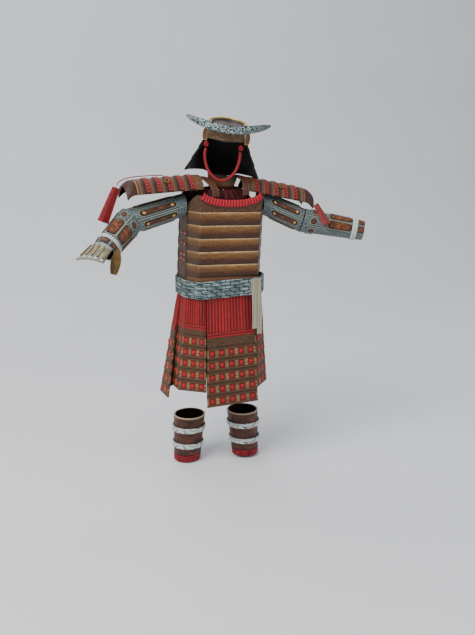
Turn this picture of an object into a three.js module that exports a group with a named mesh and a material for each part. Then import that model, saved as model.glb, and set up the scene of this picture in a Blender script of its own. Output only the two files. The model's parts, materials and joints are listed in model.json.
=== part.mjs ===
// A suit of lamellar armour, as worn by a card display figure at about one seventh of life size.
// Millimetres, +Z up. The wearer faces -Y, so the wearer's right is -X. The origin is between
// the shoulders, at the height where the two shoulder straps carry the suit.

import * as THREE from 'three';

// ---------------------------------------------------------------- driving dimensions
const CARD = 1.0;
const SEAM = 0.3;
const SKIN = { inner: -CARD, outer: 0 };
const OVERLAY = { inner: SEAM, outer: SEAM + CARD };

// The body tube has eight faces: a broad front and back, two sides and four slanted corners.
// `face` is half the width of the front, `slant` how deep the slanted corners reach.
const WAIST = { face: 21.2, halfWidth: 27.0, halfDepth: 17.6, slant: 9.4 };
const HEM = { face: 18.6, halfWidth: 34, halfDepth: 22.5, slant: 14 };
const CUIRASS = {
  bottom: -67.8, yoke: -26.3, shoulder: -6.8, armholeStart: 24.5, armholeLow: -20.5, armholeTop: -13.5,
};
const LEAN = { angle: 0.052, height: -45 };
const LAME = { height: 8.75, lowest: -61.3, count: 5, proud: 0.45, step: 0.35 };
const SASH = { top: -62.8, bottom: -74.6 };
const SKIRT = { top: -70.2, bottom: -150 };
const COLLAR_RING = {
  halfWidth: 20.6, ends: -6.0, sag: 5.8, width: 4.8, flutes: 22, clear: 0.78, wave: 0.22,
};
const COLLAR = { rimX: 17.6, rimY: 15.2, back: -6.2, front: -10.2, pleats: 18, wave: 0.2 };
const NECK = { y: -3, radius: 11.2, z: -3.2 };
const STRAP = { x: 12.6, width: 4.6, drawnIn: 0.3, shift: 1 };
const SHOULDER_GUARD = {
  lames: 7, halfAngle: 1.3, radius: 10.5, depth: 1.1, flat: 0.88, droop: 0.6, proud: 0.4,
};
const SHIN = { topRadius: 11.2, bottomRadius: 9.4, height: 34, hem: 5 };

const COLOUR = {
  lame: 0x6a4a30,
  darkLame: 0x4a3224,
  red: 0xb2202a,
  collar: 0xc23444,
  maroon: 0x5c1a1e,
  steel: 0x8f9a9c,
  gold: 0xb39235,
  mail: 0x6f7a7c,
  sash: 0x7f9094,
  tie: 0xd8dcd6,
  shin: 0x55301f,
};

// ---------------------------------------------------------------- making walls from surfaces
const armour = new THREE.Group();

function material(colour, roughness = 0.6, metalness = 0) {
  return new THREE.MeshStandardMaterial({ color: colour, roughness, metalness, flatShading: true });
}

function add(parent, name, geometry, colour, roughness, metalness) {
  const mesh = new THREE.Mesh(geometry, material(colour, roughness, metalness));
  mesh.name = name;
  parent.add(mesh);
  return mesh;
}

function steps(from, to, count) {
  return Array.from({ length: count + 1 }, (_, i) => from + ((to - from) * i) / count);
}

function mix(a, b, f) {
  return a + (b - a) * f;
}

function valueAt(value, u, v) {
  return typeof value === 'function' ? value(u, v) : value;
}

// The outward normal of a surface, from two short steps along it.
function normalAt(at, u, v, du, dv) {
  const alongU = at(u + du, v).sub(at(u - du, v));
  const alongV = at(u, v + dv).sub(at(u, v - dv));
  return alongU.cross(alongV).normalize();
}

// A closed wall over the grid us x vs of the surface at(u, v), between two offsets along its
// outward normal. A wrapped wall closes on itself in u, and its ends in v stay open.
function wall(at, us, vs, { inner, outer }, wrap = false) {
  const du = Math.abs(us[1] - us[0]) * 0.02;
  const dv = Math.abs(vs.at(-1) - vs[0]) * 0.0005;
  const columns = us.length;
  const rows = vs.length;
  const positions = [];
  for (const offset of [outer, inner]) {
    for (const v of vs) {
      for (const u of us) {
        const normal = normalAt(at, u, v, du, dv);
        positions.push(...at(u, v).addScaledVector(normal, valueAt(offset, u, v)).toArray());
      }
    }
  }
  const layer = columns * rows;
  const index = (i, j, side) => side * layer + j * columns + (i % columns);
  const triangles = [];
  const quad = (a, b, c, d) => triangles.push(a, b, c, a, c, d);
  const across = wrap ? columns : columns - 1;
  for (let j = 0; j < rows - 1; j += 1) {
    for (let i = 0; i < across; i += 1) {
      quad(index(i, j, 0), index(i + 1, j, 0), index(i + 1, j + 1, 0), index(i, j + 1, 0));
      quad(index(i, j, 1), index(i, j + 1, 1), index(i + 1, j + 1, 1), index(i + 1, j, 1));
    }
  }
  for (let i = 0; i < across; i += 1) {
    quad(index(i + 1, 0, 0), index(i, 0, 0), index(i, 0, 1), index(i + 1, 0, 1));
    const top = rows - 1;
    quad(index(i, top, 0), index(i + 1, top, 0), index(i + 1, top, 1), index(i, top, 1));
  }
  if (!wrap) {
    const last = columns - 1;
    for (let j = 0; j < rows - 1; j += 1) {
      quad(index(0, j, 0), index(0, j + 1, 0), index(0, j + 1, 1), index(0, j, 1));
      quad(index(last, j + 1, 0), index(last, j, 0), index(last, j, 1), index(last, j + 1, 1));
    }
  }
  const geometry = new THREE.BufferGeometry();
  geometry.setAttribute('position', new THREE.Float32BufferAttribute(positions, 3));
  geometry.setIndex(triangles);
  geometry.computeVertexNormals();
  return geometry;
}

function aroundSteps(count) {
  return Array.from({ length: count }, (_, i) => i / count);
}

// ---------------------------------------------------------------- the body tube
function slantLength({ face, halfWidth, slant }) {
  return Math.hypot(halfWidth - face, slant);
}

function halfTurn(box) {
  return 2 * box.face + 2 * slantLength(box) + 2 * (box.halfDepth - box.slant);
}

// A point of the eight-sided tube at height z. `s` is the way round as a share of the full turn,
// from the front centre (0) past the wearer's left side (0.25) to the back centre (0.5).
function boxPoint(s, z, box) {
  const turn = s - Math.round(s);
  const side = Math.sign(turn) || 1;
  const { face, halfWidth, halfDepth, slant } = box;
  const corners = [
    [0, -halfDepth], [face, -halfDepth], [halfWidth, slant - halfDepth],
    [halfWidth, halfDepth - slant], [face, halfDepth], [0, halfDepth],
  ];
  let run = 2 * Math.abs(turn) * halfTurn(box);
  for (let k = 0; k < corners.length - 1; k += 1) {
    const [x0, y0] = corners[k];
    const [x1, y1] = corners[k + 1];
    const length = Math.hypot(x1 - x0, y1 - y0);
    if (run <= length || k === corners.length - 2) {
      const f = Math.min(1, run / length);
      return new THREE.Vector3(side * mix(x0, x1, f), mix(y0, y1, f), z);
    }
    run -= length;
  }
  return null;
}

// The cuirass leans a little to the wearer's left, about a line through its middle.
function leanPoint(point) {
  const height = point.z - LEAN.height;
  const x = point.x * Math.cos(LEAN.angle) + height * Math.sin(LEAN.angle);
  const z = LEAN.height + height * Math.cos(LEAN.angle) - point.x * Math.sin(LEAN.angle);
  return new THREE.Vector3(x, point.y, z);
}

const WAIST_TURN = 2 * halfTurn(WAIST);
const HEM_TURN = 2 * halfTurn(HEM);
const PLATE_EDGE = WAIST.face + slantLength(WAIST);
const SEAM_SHARE = (2 * SEAM) / WAIST_TURN;

// Ways round with a column at every corner of the tube, so that its creases stay sharp.
function creaseSteps(from, to, box, most) {
  const turn = 2 * halfTurn(box);
  const creases = [0, box.face / turn, (box.face + slantLength(box)) / turn];
  const marks = [from, to];
  for (const crease of creases) {
    for (const mark of [crease, -crease, 0.5 - crease, crease - 0.5, 0.5 + crease]) {
      if (mark > from + 1e-4 && mark < to - 1e-4) marks.push(mark);
    }
  }
  marks.sort((a, b) => a - b);
  const result = [marks[0]];
  for (let k = 1; k < marks.length; k += 1) {
    const gap = marks[k] - marks[k - 1];
    if (gap < 1e-6) continue;
    const parts = Math.max(1, Math.ceil((gap * turn) / most));
    for (let i = 1; i <= parts; i += 1) result.push(mix(marks[k - 1], marks[k], i / parts));
  }
  return result;
}

// ---------------------------------------------------------------- cuirass
// Front and back are plates of lames: each lame's lower edge stands proud of the one below it.
function lameRelief(z) {
  const above = (z - LAME.lowest) / LAME.height;
  if (above < -0.02 || above > LAME.count - 0.98) return 0;
  return LAME.proud * (1 - (above - Math.floor(above + 0.02)));
}

function lameRows() {
  const rows = [CUIRASS.bottom];
  for (let k = 0; k < LAME.count; k += 1) {
    const edge = LAME.lowest + k * LAME.height;
    rows.push(edge - LAME.step, edge);
  }
  return rows;
}

// The top edge of a breast or back plate, by the way round from its own centre: a rounded neck,
// a level shoulder and the falling edge of the armhole.
function plateTop(run, neckDepth, neckHalf) {
  if (run < neckHalf) {
    return CUIRASS.shoulder - neckDepth * Math.sqrt(1 - (run / neckHalf) ** 2);
  }
  if (run < CUIRASS.armholeStart) return CUIRASS.shoulder;
  const fall = Math.min(1, (run - CUIRASS.armholeStart) / (PLATE_EDGE - CUIRASS.armholeStart));
  return mix(CUIRASS.shoulder, CUIRASS.armholeTop, fall ** 1.4);
}

function cuirassPlate(centre, neckDepth, neckHalf) {
  const at = (s, level) => {
    const run = Math.abs(s - centre) * WAIST_TURN;
    let z = level;
    if (level > CUIRASS.yoke) {
      const share = (level - CUIRASS.yoke) / (CUIRASS.shoulder - CUIRASS.yoke);
      z = mix(CUIRASS.yoke, plateTop(run, neckDepth, neckHalf), share);
    }
    return leanPoint(boxPoint(s, z, WAIST));
  };
  const edge = PLATE_EDGE / WAIST_TURN;
  const us = creaseSteps(centre - edge, centre + edge, WAIST, 4.3);
  return wall(at, us, [...lameRows(), CUIRASS.shoulder], {
    inner: -CARD,
    outer: (s, level) => lameRelief(level),
  });
}

add(armour, 'cuirass_front', cuirassPlate(0, 4.2, 19), COLOUR.lame);
add(armour, 'cuirass_back', cuirassPlate(0.5, 1.6, 15), COLOUR.lame);

for (const [name, sign] of [['right', -1], ['left', 1]]) {
  const edge = PLATE_EDGE / WAIST_TURN + SEAM_SHARE;
  const us = sign > 0 ? steps(edge, 0.5 - edge, 3) : steps(edge - 0.5, -edge, 3);
  const at = (s, z) => leanPoint(boxPoint(s, z, WAIST));
  const geometry = wall(at, us, steps(CUIRASS.bottom, CUIRASS.armholeLow, 4), SKIN);
  add(armour, `cuirass_side_${name}`, geometry, COLOUR.darkLame);
}

// ---------------------------------------------------------------- sash and its hanging ends
// The sash is wound round the waist over the foot of the cuirass and the tops of the tassets.
const SASH_CLEAR = 1.55;
const SASH_FOLD = 0.2;
const sashFolds = (s, z) => {
  return SASH_FOLD * Math.cos(((z - SASH.top) * Math.PI * 4) / (SASH.top - SASH.bottom));
};
const sashFaces = { inner: SASH_CLEAR, outer: (s, z) => SASH_CLEAR + CARD + sashFolds(s, z) };
const sashSurface = (s, z) => boxPoint(s, z, WAIST);
const sashColumns = creaseSteps(-0.5, 0.5, WAIST, 7).slice(0, -1);
const sashRows = steps(SASH.bottom, SASH.top, 4);
add(armour, 'sash_band', wall(sashSurface, sashColumns, sashRows, sashFaces, true), COLOUR.sash);

// ---------------------------------------------------------------- skirt of hanging tassets
// The skirt's form opens out from the waist to the hem; a tasset may also swing out by itself.
function skirtFall(z) {
  return (SKIRT.top - z) / (SKIRT.top - SKIRT.bottom);
}

function skirtBox(z, swing = 0) {
  const fall = Math.max(0, skirtFall(z));
  const out = swing * fall;
  return {
    face: mix(WAIST.face, HEM.face, fall),
    halfWidth: mix(WAIST.halfWidth, HEM.halfWidth, fall) + out,
    halfDepth: mix(WAIST.halfDepth, HEM.halfDepth, fall) + out,
    slant: mix(WAIST.slant, HEM.slant, fall),
  };
}

// Each tasset runs between two places round the waist, given in millimetres from the front
// centre at the top and at the hem, and ends at its own hem height.
const TASSETS = [
  { name: 'tasset_centre', top: [-16.4, 16.4], low: [-18.4, 18.4], hem: -150.3, swing: 0.9, most: 5 },
  { name: 'tasset_front_right', top: [-43.0, -17.1], low: [-50.5, -19.0], hem: -139.3, swing: 2.0, most: 6 },
  { name: 'tasset_front_left', top: [17.1, 43.4], low: [19.6, 53.0], hem: -141.5, swing: -0.8, most: 6 },
  { name: 'tasset_side_right', top: [-62.4, -45.0], low: [-71.0, -46.5], hem: -147.0, swing: 6.6, most: 6 },
  { name: 'tasset_side_left', top: [44.5, 62.4], low: [54.4, 77.0], hem: -145.0, swing: 0.9, most: 6 },
  { name: 'tasset_back_right', top: [-80.5, -62.9], low: [-95.0, -74.0], hem: -145.0, swing: 0, most: 6 },
  { name: 'tasset_back_left', top: [62.9, 80.5], low: [78.2, 95.0], hem: -146.0, swing: 0, most: 6 },
];

function tassetSurface({ top, low, swing }) {
  return (u, z) => {
    const fall = skirtFall(z);
    const from = mix(top[0] / WAIST_TURN, low[0] / HEM_TURN, fall);
    const to = mix(top[1] / WAIST_TURN, low[1] / HEM_TURN, fall);
    return boxPoint(mix(from, to, u), z, skirtBox(z, swing));
  };
}

for (const tasset of TASSETS) {
  const at = tassetSurface(tasset);
  const columns = Math.round((tasset.low[1] - tasset.low[0]) / tasset.most);
  const geometry = wall(at, steps(0, 1, columns), steps(tasset.hem, SKIRT.top, 4), SKIN);
  add(armour, tasset.name, geometry, COLOUR.darkLame);
}

// Two flat ends of the sash hang over the wearer's left front, one a little longer.
const SASH_ENDS = [
  { name: 'sash_end_inner', from: 15.0, tip: -98 },
  { name: 'sash_end_outer', from: 18.5, tip: -102 },
];
const SASH_END = { width: 3.1, clear: SASH_CLEAR + CARD + SASH_FOLD + SEAM };
for (const end of SASH_ENDS) {
  const at = (u, z) => new THREE.Vector3(end.from + SASH_END.width * u, -skirtBox(z).halfDepth, z);
  const faces = { inner: SASH_END.clear, outer: SASH_END.clear + CARD };
  const geometry = wall(at, steps(0, 1, 2), steps(end.tip, SASH.top - 0.4, 6), faces);
  add(armour, end.name, geometry, COLOUR.tie);
}

// ---------------------------------------------------------------- collar
// A fluted ring lies on the breast plate round the neck opening.
const ringCentre = (share) => {
  const angle = mix(-Math.PI / 2, Math.PI / 2, share) * 1.02;
  const x = COLLAR_RING.halfWidth * Math.sin(angle);
  return { x, z: COLLAR_RING.ends - COLLAR_RING.sag * Math.cos(angle) };
};
const ringSurface = (u, v) => {
  const { x, z } = ringCentre(u);
  const slope = Math.atan2(COLLAR_RING.sag * x, COLLAR_RING.halfWidth ** 2 * 0.62);
  const across = (v - 0.5) * COLLAR_RING.width;
  const run = x - across * Math.sin(slope);
  return leanPoint(boxPoint(run / WAIST_TURN, z + across * Math.cos(slope), WAIST));
};
const ringFlutes = (u) => COLLAR_RING.wave * Math.cos(u * Math.PI * 2 * COLLAR_RING.flutes);
const ringFaces = {
  inner: COLLAR_RING.clear,
  outer: (u) => COLLAR_RING.clear + CARD + ringFlutes(u),
};
const collarRing = wall(ringSurface, steps(0, 1, COLLAR_RING.flutes * 2), steps(0, 1, 1), ringFaces);
add(armour, 'collar_ring', collarRing, COLOUR.collar);

// The pleated inner collar slopes from the neck out to the inside of the plates.
const collarSurface = (u, v) => {
  const x = Math.cos(-u * Math.PI * 2);
  const y = Math.sin(-u * Math.PI * 2);
  const rimHeight = mix(COLLAR.back, COLLAR.front, Math.max(0, -y));
  const neck = new THREE.Vector3(NECK.radius * x, NECK.y + NECK.radius * y, NECK.z);
  const rim = leanPoint(new THREE.Vector3(COLLAR.rimX * x, COLLAR.rimY * y, rimHeight));
  return neck.lerp(rim, v);
};
const pleatWave = (u) => COLLAR.wave * Math.cos(u * Math.PI * 2 * COLLAR.pleats);
const pleats = {
  inner: (u) => pleatWave(u) - CARD / 2,
  outer: (u) => pleatWave(u) + CARD / 2,
};
const innerCollar = wall(collarSurface, aroundSteps(2 * COLLAR.pleats), [0, 0.5, 1], pleats, true);
add(armour, 'inner_collar', innerCollar, COLOUR.maroon);

// Shoulder straps run from the breast plate over the shoulder to the back plate.
const strapPath = new THREE.CatmullRomCurve3([
  new THREE.Vector3(0, -18.3, -6.8),
  new THREE.Vector3(0, -17.4, -2.8),
  new THREE.Vector3(0, -13.6, 1.4),
  new THREE.Vector3(0, -6.5, 3.4),
  new THREE.Vector3(0, 2.0, 3.6),
  new THREE.Vector3(0, 10.5, 2.8),
  new THREE.Vector3(0, 17.0, -1.6),
  new THREE.Vector3(0, 19.2, -7.6),
  new THREE.Vector3(0, 19.2, -12.0),
]);
for (const [name, sign] of [['right', -1], ['left', 1]]) {
  const at = (u, v) => {
    const point = strapPath.getPoint(Math.min(1, Math.max(0, v)));
    const drawnIn = STRAP.drawnIn * Math.max(0, -12 - point.y);
    const x = sign * (STRAP.x - drawnIn) + (u - 0.5) * STRAP.width + STRAP.shift;
    return new THREE.Vector3(x, point.y, point.z);
  };
  const faces = { inner: -CARD / 2, outer: CARD / 2 };
  const geometry = wall(at, steps(0, 1, 2), steps(0.002, 0.998, 14), faces);
  add(armour, `shoulder_strap_${name}`, geometry, COLOUR.darkLame);
}

// ---------------------------------------------------------------- tubes for the limbs
// A tapered tube from one end to the other. Each end is cut square to its own given direction,
// so two tubes that meet at an elbow are mitred. v runs along it from 0 to 1.
function limb(from, to, fromRadius, toRadius, fromCut, toCut) {
  const axis = to.clone().sub(from).normalize();
  const first = new THREE.Vector3(0, 0, 1).addScaledVector(axis, -axis.z).normalize();
  const second = axis.clone().cross(first);
  return (u, v) => {
    const angle = u * Math.PI * 2;
    const out = first.clone().multiplyScalar(Math.cos(angle)).addScaledVector(second, Math.sin(angle));
    const radius = mix(fromRadius, toRadius, v);
    const slide = mix(-out.dot(fromCut) / axis.dot(fromCut), -out.dot(toCut) / axis.dot(toCut), v);
    return from.clone().lerp(to, v).addScaledVector(out, radius).addScaledVector(axis, radius * slide);
  };
}

// A round cord of eight sides along a path.
function cord(radius, path, count) {
  const round = new THREE.Shape();
  for (let k = 0; k < 8; k += 1) {
    const angle = (k / 8) * Math.PI * 2;
    const point = [radius * Math.cos(angle), radius * Math.sin(angle)];
    if (k === 0) round.moveTo(...point);
    else round.lineTo(...point);
  }
  round.closePath();
  return new THREE.ExtrudeGeometry(round, { steps: count, bevelEnabled: false, extrudePath: path });
}

// ---------------------------------------------------------------- sleeves and shoulder guards
const ARMS = [
  {
    name: 'right',
    sign: -1,
    shoulder: new THREE.Vector3(-26.2, -1.2, -13.4),
    elbow: new THREE.Vector3(-63.6, -2.4, -21.8),
    wrist: new THREE.Vector3(-85.2, -19.5, -36.5),
    radii: [7.3, 8.3, 9.1, 7.7],
    guard: [new THREE.Vector3(-15.6, -1.5, 6.0), new THREE.Vector3(-62.0, -2.4, 4.6)],
    tassel: [new THREE.Vector3(-73.0, -7.0, 0.8), new THREE.Vector3(-83.0, -9.0, -20.2)],
  },
  {
    name: 'left',
    sign: 1,
    shoulder: new THREE.Vector3(29.3, -1.2, -14.2),
    elbow: new THREE.Vector3(58.2, -8.4, -27.8),
    wrist: new THREE.Vector3(97.2, -26.2, -35.2),
    radii: [7.3, 8.0, 8.2, 6.4],
    guard: [new THREE.Vector3(18.2, -1.5, 3.4), new THREE.Vector3(61.0, -4.2, -6.4)],
    tassel: [new THREE.Vector3(62.6, -20.8, -15.6), new THREE.Vector3(67.4, -29.0, -28.4)],
  },
];

const forearms = {};
for (const arm of ARMS) {
  const upperAxis = arm.elbow.clone().sub(arm.shoulder).normalize();
  const lowerAxis = arm.wrist.clone().sub(arm.elbow).normalize();
  const mitre = upperAxis.clone().add(lowerAxis).normalize();
  const side = new THREE.Vector3(arm.sign, 0, 0);
  const upperEnd = arm.elbow.clone().addScaledVector(upperAxis, -1.5 * SEAM);
  const lowerStart = arm.elbow.clone().addScaledVector(lowerAxis, SEAM);
  const upper = limb(arm.shoulder, upperEnd, arm.radii[0], arm.radii[1], side, mitre);
  const fore = limb(lowerStart, arm.wrist, arm.radii[2], arm.radii[3], mitre, lowerAxis);
  forearms[arm.name] = fore;
  for (const [place, tube] of [['upper', upper], ['fore', fore]]) {
    const sleeve = wall(tube, aroundSteps(16), steps(0, 1, 3), SKIN, true);
    add(armour, `sleeve_${place}_${arm.name}`, sleeve, COLOUR.mail, 0.5, 0.5);
  }
  const tie = wall(fore, aroundSteps(16), steps(0.8, 0.88, 1), OVERLAY, true);
  add(armour, `wrist_tie_${arm.name}`, tie, COLOUR.tie);
}

// A shoulder guard is an arched plate of cross lames whose last lame bends down; the guard's
// front and back edges hang below its ridge.
function guardRidge([from, to], v) {
  const along = to.clone().sub(from);
  const straight = Math.min(v, SHOULDER_GUARD.flat) / SHOULDER_GUARD.flat;
  const point = from.clone().addScaledVector(along, straight);
  const bend = Math.max(0, v - SHOULDER_GUARD.flat) / (1 - SHOULDER_GUARD.flat);
  const unit = along.clone().normalize();
  const tail = along.length() * (1 / SHOULDER_GUARD.flat - 1) * bend;
  const droop = bend * SHOULDER_GUARD.droop;
  return point.addScaledVector(unit, tail * Math.cos(droop / 2))
    .add(new THREE.Vector3(0, 0, -tail * Math.sin(droop)));
}

function guardSurface(ends) {
  const unit = ends[1].clone().sub(ends[0]).normalize();
  const up = new THREE.Vector3(0, 0, 1).addScaledVector(unit, -unit.z).normalize();
  const across = unit.clone().cross(up);
  return (u, v) => {
    const angle = (u - 0.5) * 2 * SHOULDER_GUARD.halfAngle;
    const radius = SHOULDER_GUARD.radius;
    return guardRidge(ends, v)
      .addScaledVector(across, radius * Math.sin(angle))
      .addScaledVector(up, radius * (Math.cos(angle) - 1) * SHOULDER_GUARD.depth);
  };
}

function guardRelief(u, v) {
  const place = v * SHOULDER_GUARD.lames;
  const share = Math.max(0, place - Math.floor(place + 1e-6));
  return SHOULDER_GUARD.proud * Math.min(1, share);
}

function guardRows() {
  const rows = [];
  for (let k = 0; k < SHOULDER_GUARD.lames; k += 1) {
    rows.push(k / SHOULDER_GUARD.lames, (k + 0.96) / SHOULDER_GUARD.lames);
  }
  return rows;
}

for (const arm of ARMS) {
  const at = guardSurface(arm.guard);
  const geometry = wall(at, steps(0, 1, 8), guardRows(), { inner: -CARD, outer: guardRelief });
  add(armour, `shoulder_guard_${arm.name}`, geometry, COLOUR.lame);
}

// A folded red bar hangs at the outer end of each shoulder guard, and tapers to its top.
for (const arm of ARMS) {
  const [top, tip] = arm.tassel;
  const axis = tip.clone().sub(top);
  const bar = new THREE.CylinderGeometry(2.6, 3.9, axis.length(), 4, 3);
  const mesh = add(armour, `tassel_${arm.name}`, bar, COLOUR.red);
  mesh.quaternion.setFromUnitVectors(new THREE.Vector3(0, -1, 0), axis.clone().normalize());
  mesh.position.copy(top.clone().lerp(tip, 0.5));
}

// The right tassel hangs on a thin red cord that runs back along the guard's ridge.
const GUARD_CORD_RADIUS = 0.35;
const guardCordPath = new THREE.CatmullRomCurve3([
  [-72.4, -6.4, 2.2], [-71.2, -5.2, 3.7], [-68.6, -3.6, 4.9], [-64.5, -2.0, 5.9], [-59.5, -0.8, 6.4],
  [-54, 0.2, 6.5], [-49, 1.2, 6.5], [-44.5, 2.2, 6.4], [-41, 3.2, 6.2], [-38.0, 4.2, 5.9],
].map(([x, y, z]) => new THREE.Vector3(x, y, z)));
add(armour, 'guard_cord_right', cord(GUARD_CORD_RADIUS, guardCordPath, 22), COLOUR.red);

// A small gilt ring stands on the front face of each shoulder guard.
for (const arm of ARMS) {
  const at = guardSurface(arm.guard);
  const place = arm.sign < 0 ? [0.26, 0.46] : [0.74, 0.5];
  const normal = normalAt(at, place[0], place[1], 0.002, 0.002);
  const ring = new THREE.TorusGeometry(1.5, 0.4, 6, 14);
  const mesh = add(armour, `guard_ring_${arm.name}`, ring, COLOUR.gold, 0.4, 0.8);
  mesh.quaternion.setFromUnitVectors(new THREE.Vector3(0, 0, 1), normal);
  mesh.position.copy(at(...place).addScaledVector(normal, 1.2));
}

// The right hand keeps its two guards: a plate over the back of the hand and one for the thumb.
const rightFore = forearms.right;
const HAND = {
  start: 1.03, end: 1.53, turn: -0.03, wristWidth: 16.5, knuckleWidth: 19, wristBend: 8.2, bend: 21,
};
const handSurface = (u, v) => {
  const place = mix(HAND.start, HAND.end, v);
  const middle = rightFore(HAND.turn, place);
  const across = rightFore(HAND.turn + 0.001, place).sub(rightFore(HAND.turn - 0.001, place)).normalize();
  const along = rightFore(HAND.turn, place + 0.01).sub(rightFore(HAND.turn, place - 0.01)).normalize();
  const out = across.clone().cross(along);
  const radius = mix(HAND.wristBend, HAND.bend, v);
  const angle = ((u - 0.5) * mix(HAND.wristWidth, HAND.knuckleWidth, v)) / radius;
  return middle.addScaledVector(across, radius * Math.sin(angle))
    .addScaledVector(out, radius * (Math.cos(angle) - 1));
};
add(armour, 'hand_guard', wall(handSurface, steps(0, 1, 6), steps(0, 1, 3), SKIN), COLOUR.steel, 0.4, 0.7);

const THUMB = { length: 17, width: 7 };
const thumbShape = new THREE.Shape();
thumbShape.moveTo(0, THUMB.length / 2);
thumbShape.quadraticCurveTo(THUMB.width * 0.75, THUMB.length * 0.1, THUMB.width * 0.28, -THUMB.length / 2);
thumbShape.lineTo(-THUMB.width * 0.28, -THUMB.length / 2);
thumbShape.quadraticCurveTo(-THUMB.width * 0.75, THUMB.length * 0.1, 0, THUMB.length / 2);
const thumbCard = { depth: CARD, bevelEnabled: false, curveSegments: 8 };
const thumbPlate = new THREE.ExtrudeGeometry(thumbShape, thumbCard);
thumbPlate.translate(0, 0, -CARD / 2);
const thumb = add(armour, 'thumb_guard', thumbPlate, COLOUR.gold, 0.5, 0.4);
thumb.position.set(-80.5, -28.0, -42.0);
thumb.rotation.order = 'ZYX';
thumb.rotation.set(Math.PI / 2 - 0.1, 0.2, -0.5);

// ---------------------------------------------------------------- helmet
// Everything on the head turns and tilts together. In its own frame the brow faces -Y.
const head = new THREE.Group();
head.position.set(2.6, -5.0, 27);
head.rotation.order = 'ZYX';
head.rotation.set(0, 0.13, -0.35);
armour.add(head);

const HELMET = {
  browRadius: 12.7, browFoot: 1.3, browTop: 7.5, crownBase: 2.6, crownTop: 12.6, baseRadius: 10.0,
  crownRadius: 11.1,
  pitch: 0.2, setBack: 1.85, browSpan: 1.36,
};

// Crown: a low drum, open below, whose flat top is sunk a little inside its gilt rim. It is
// pitched forward on the head.
const crownProfile = [
  [0, HELMET.crownTop - 2], [HELMET.crownRadius - CARD, HELMET.crownTop - 2],
  [HELMET.baseRadius - CARD, HELMET.crownBase], [HELMET.baseRadius, HELMET.crownBase],
  [HELMET.crownRadius, HELMET.crownTop], [HELMET.crownRadius - CARD, HELMET.crownTop],
  [HELMET.crownRadius - CARD - 0.4, HELMET.crownTop - 1], [0, HELMET.crownTop - 1],
];
function lathe(profile, segments) {
  const points = profile.map(([r, z]) => new THREE.Vector2(r, z));
  const geometry = new THREE.LatheGeometry(points, segments);
  geometry.rotateX(Math.PI / 2);
  return geometry;
}
const crown = add(head, 'helmet_crown', lathe(crownProfile, 24), COLOUR.darkLame);

const RIM_RADIUS = 0.6;
const rimTube = [];
for (let k = 0; k <= 6; k += 1) {
  const angle = (k / 6) * Math.PI * 2;
  const out = HELMET.crownRadius + SEAM + RIM_RADIUS * (1.08 + Math.cos(angle));
  rimTube.push([out, HELMET.crownTop + 0.1 + RIM_RADIUS * Math.sin(angle)]);
}
const rim = add(head, 'helmet_rim', lathe(rimTube, 24), COLOUR.gold, 0.35, 0.8);
for (const piece of [crown, rim]) {
  piece.rotation.x = HELMET.pitch;
  piece.position.y = HELMET.setBack;
}

// Brow band: a broad band across the front half, a little proud of the crown's base.
const browAt = (u, z) => {
  const angle = u - Math.PI / 2;
  const radius = HELMET.browRadius - 0.04 * z;
  return new THREE.Vector3(radius * Math.cos(angle), 0.4 + radius * Math.sin(angle), z);
};
const browColumns = steps(-HELMET.browSpan, HELMET.browSpan, 16);
const brow = wall(browAt, browColumns, steps(HELMET.browFoot, HELMET.browTop, 2), SKIN);
add(head, 'helmet_brow', brow, COLOUR.lame);

// Turned-back wings stand at the two ends of the brow band.
for (const [name, sign] of [['right', -1], ['left', 1]]) {
  const shape = new THREE.Shape();
  shape.moveTo(0, 0);
  shape.lineTo(2.8, 0.4);
  shape.quadraticCurveTo(3.8, 4.4, 2.6, 8.0);
  shape.lineTo(0, 7.4);
  shape.closePath();
  const plate = new THREE.ExtrudeGeometry(shape, { depth: CARD, bevelEnabled: false, curveSegments: 5 });
  plate.translate(0, 0, -CARD / 2);
  plate.rotateX(Math.PI / 2);
  if (sign < 0) plate.rotateZ(Math.PI);
  const wing = add(head, `helmet_wing_${name}`, plate, COLOUR.lame);
  wing.position.set(sign * 12.4, -5.4, 0.1);
  wing.rotation.z = sign * 0.5;
}

// Crest: a wide crescent of horns round the front, deepest in the middle, rising to its tips.
const CREST = { halfSpan: 27.6, front: -16.9, back: -6.5, mid: 9.1, tip: 14.2, depth: 5.4, thick: 1.6 };
const crestAt = (u, v) => {
  const share = Math.sin((u * Math.PI) / 2);
  const x = CREST.halfSpan * share;
  const bow = share * share;
  const depth = CREST.depth * (1 - 0.93 * Math.abs(u) ** 2.4);
  const y = mix(CREST.front, CREST.back, bow) - (v - 0.5) * depth * 0.25;
  return new THREE.Vector3(x, y, mix(CREST.mid, CREST.tip, Math.abs(share) ** 1.9) + (v - 0.5) * depth);
};
const crestBelly = (u, v) => {
  const round = Math.sqrt(Math.max(0.12, 1 - (2 * v - 1) ** 2));
  return (CREST.thick / 2) * (1 - 0.6 * u ** 2) * round;
};
const crestFaces = { inner: (u, v) => -crestBelly(u, v), outer: crestBelly };
const crest = wall(crestAt, steps(-1, 1, 20), steps(0, 1, 3), crestFaces);
add(head, 'helmet_crest', crest, COLOUR.steel, 0.35, 0.8);

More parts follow.
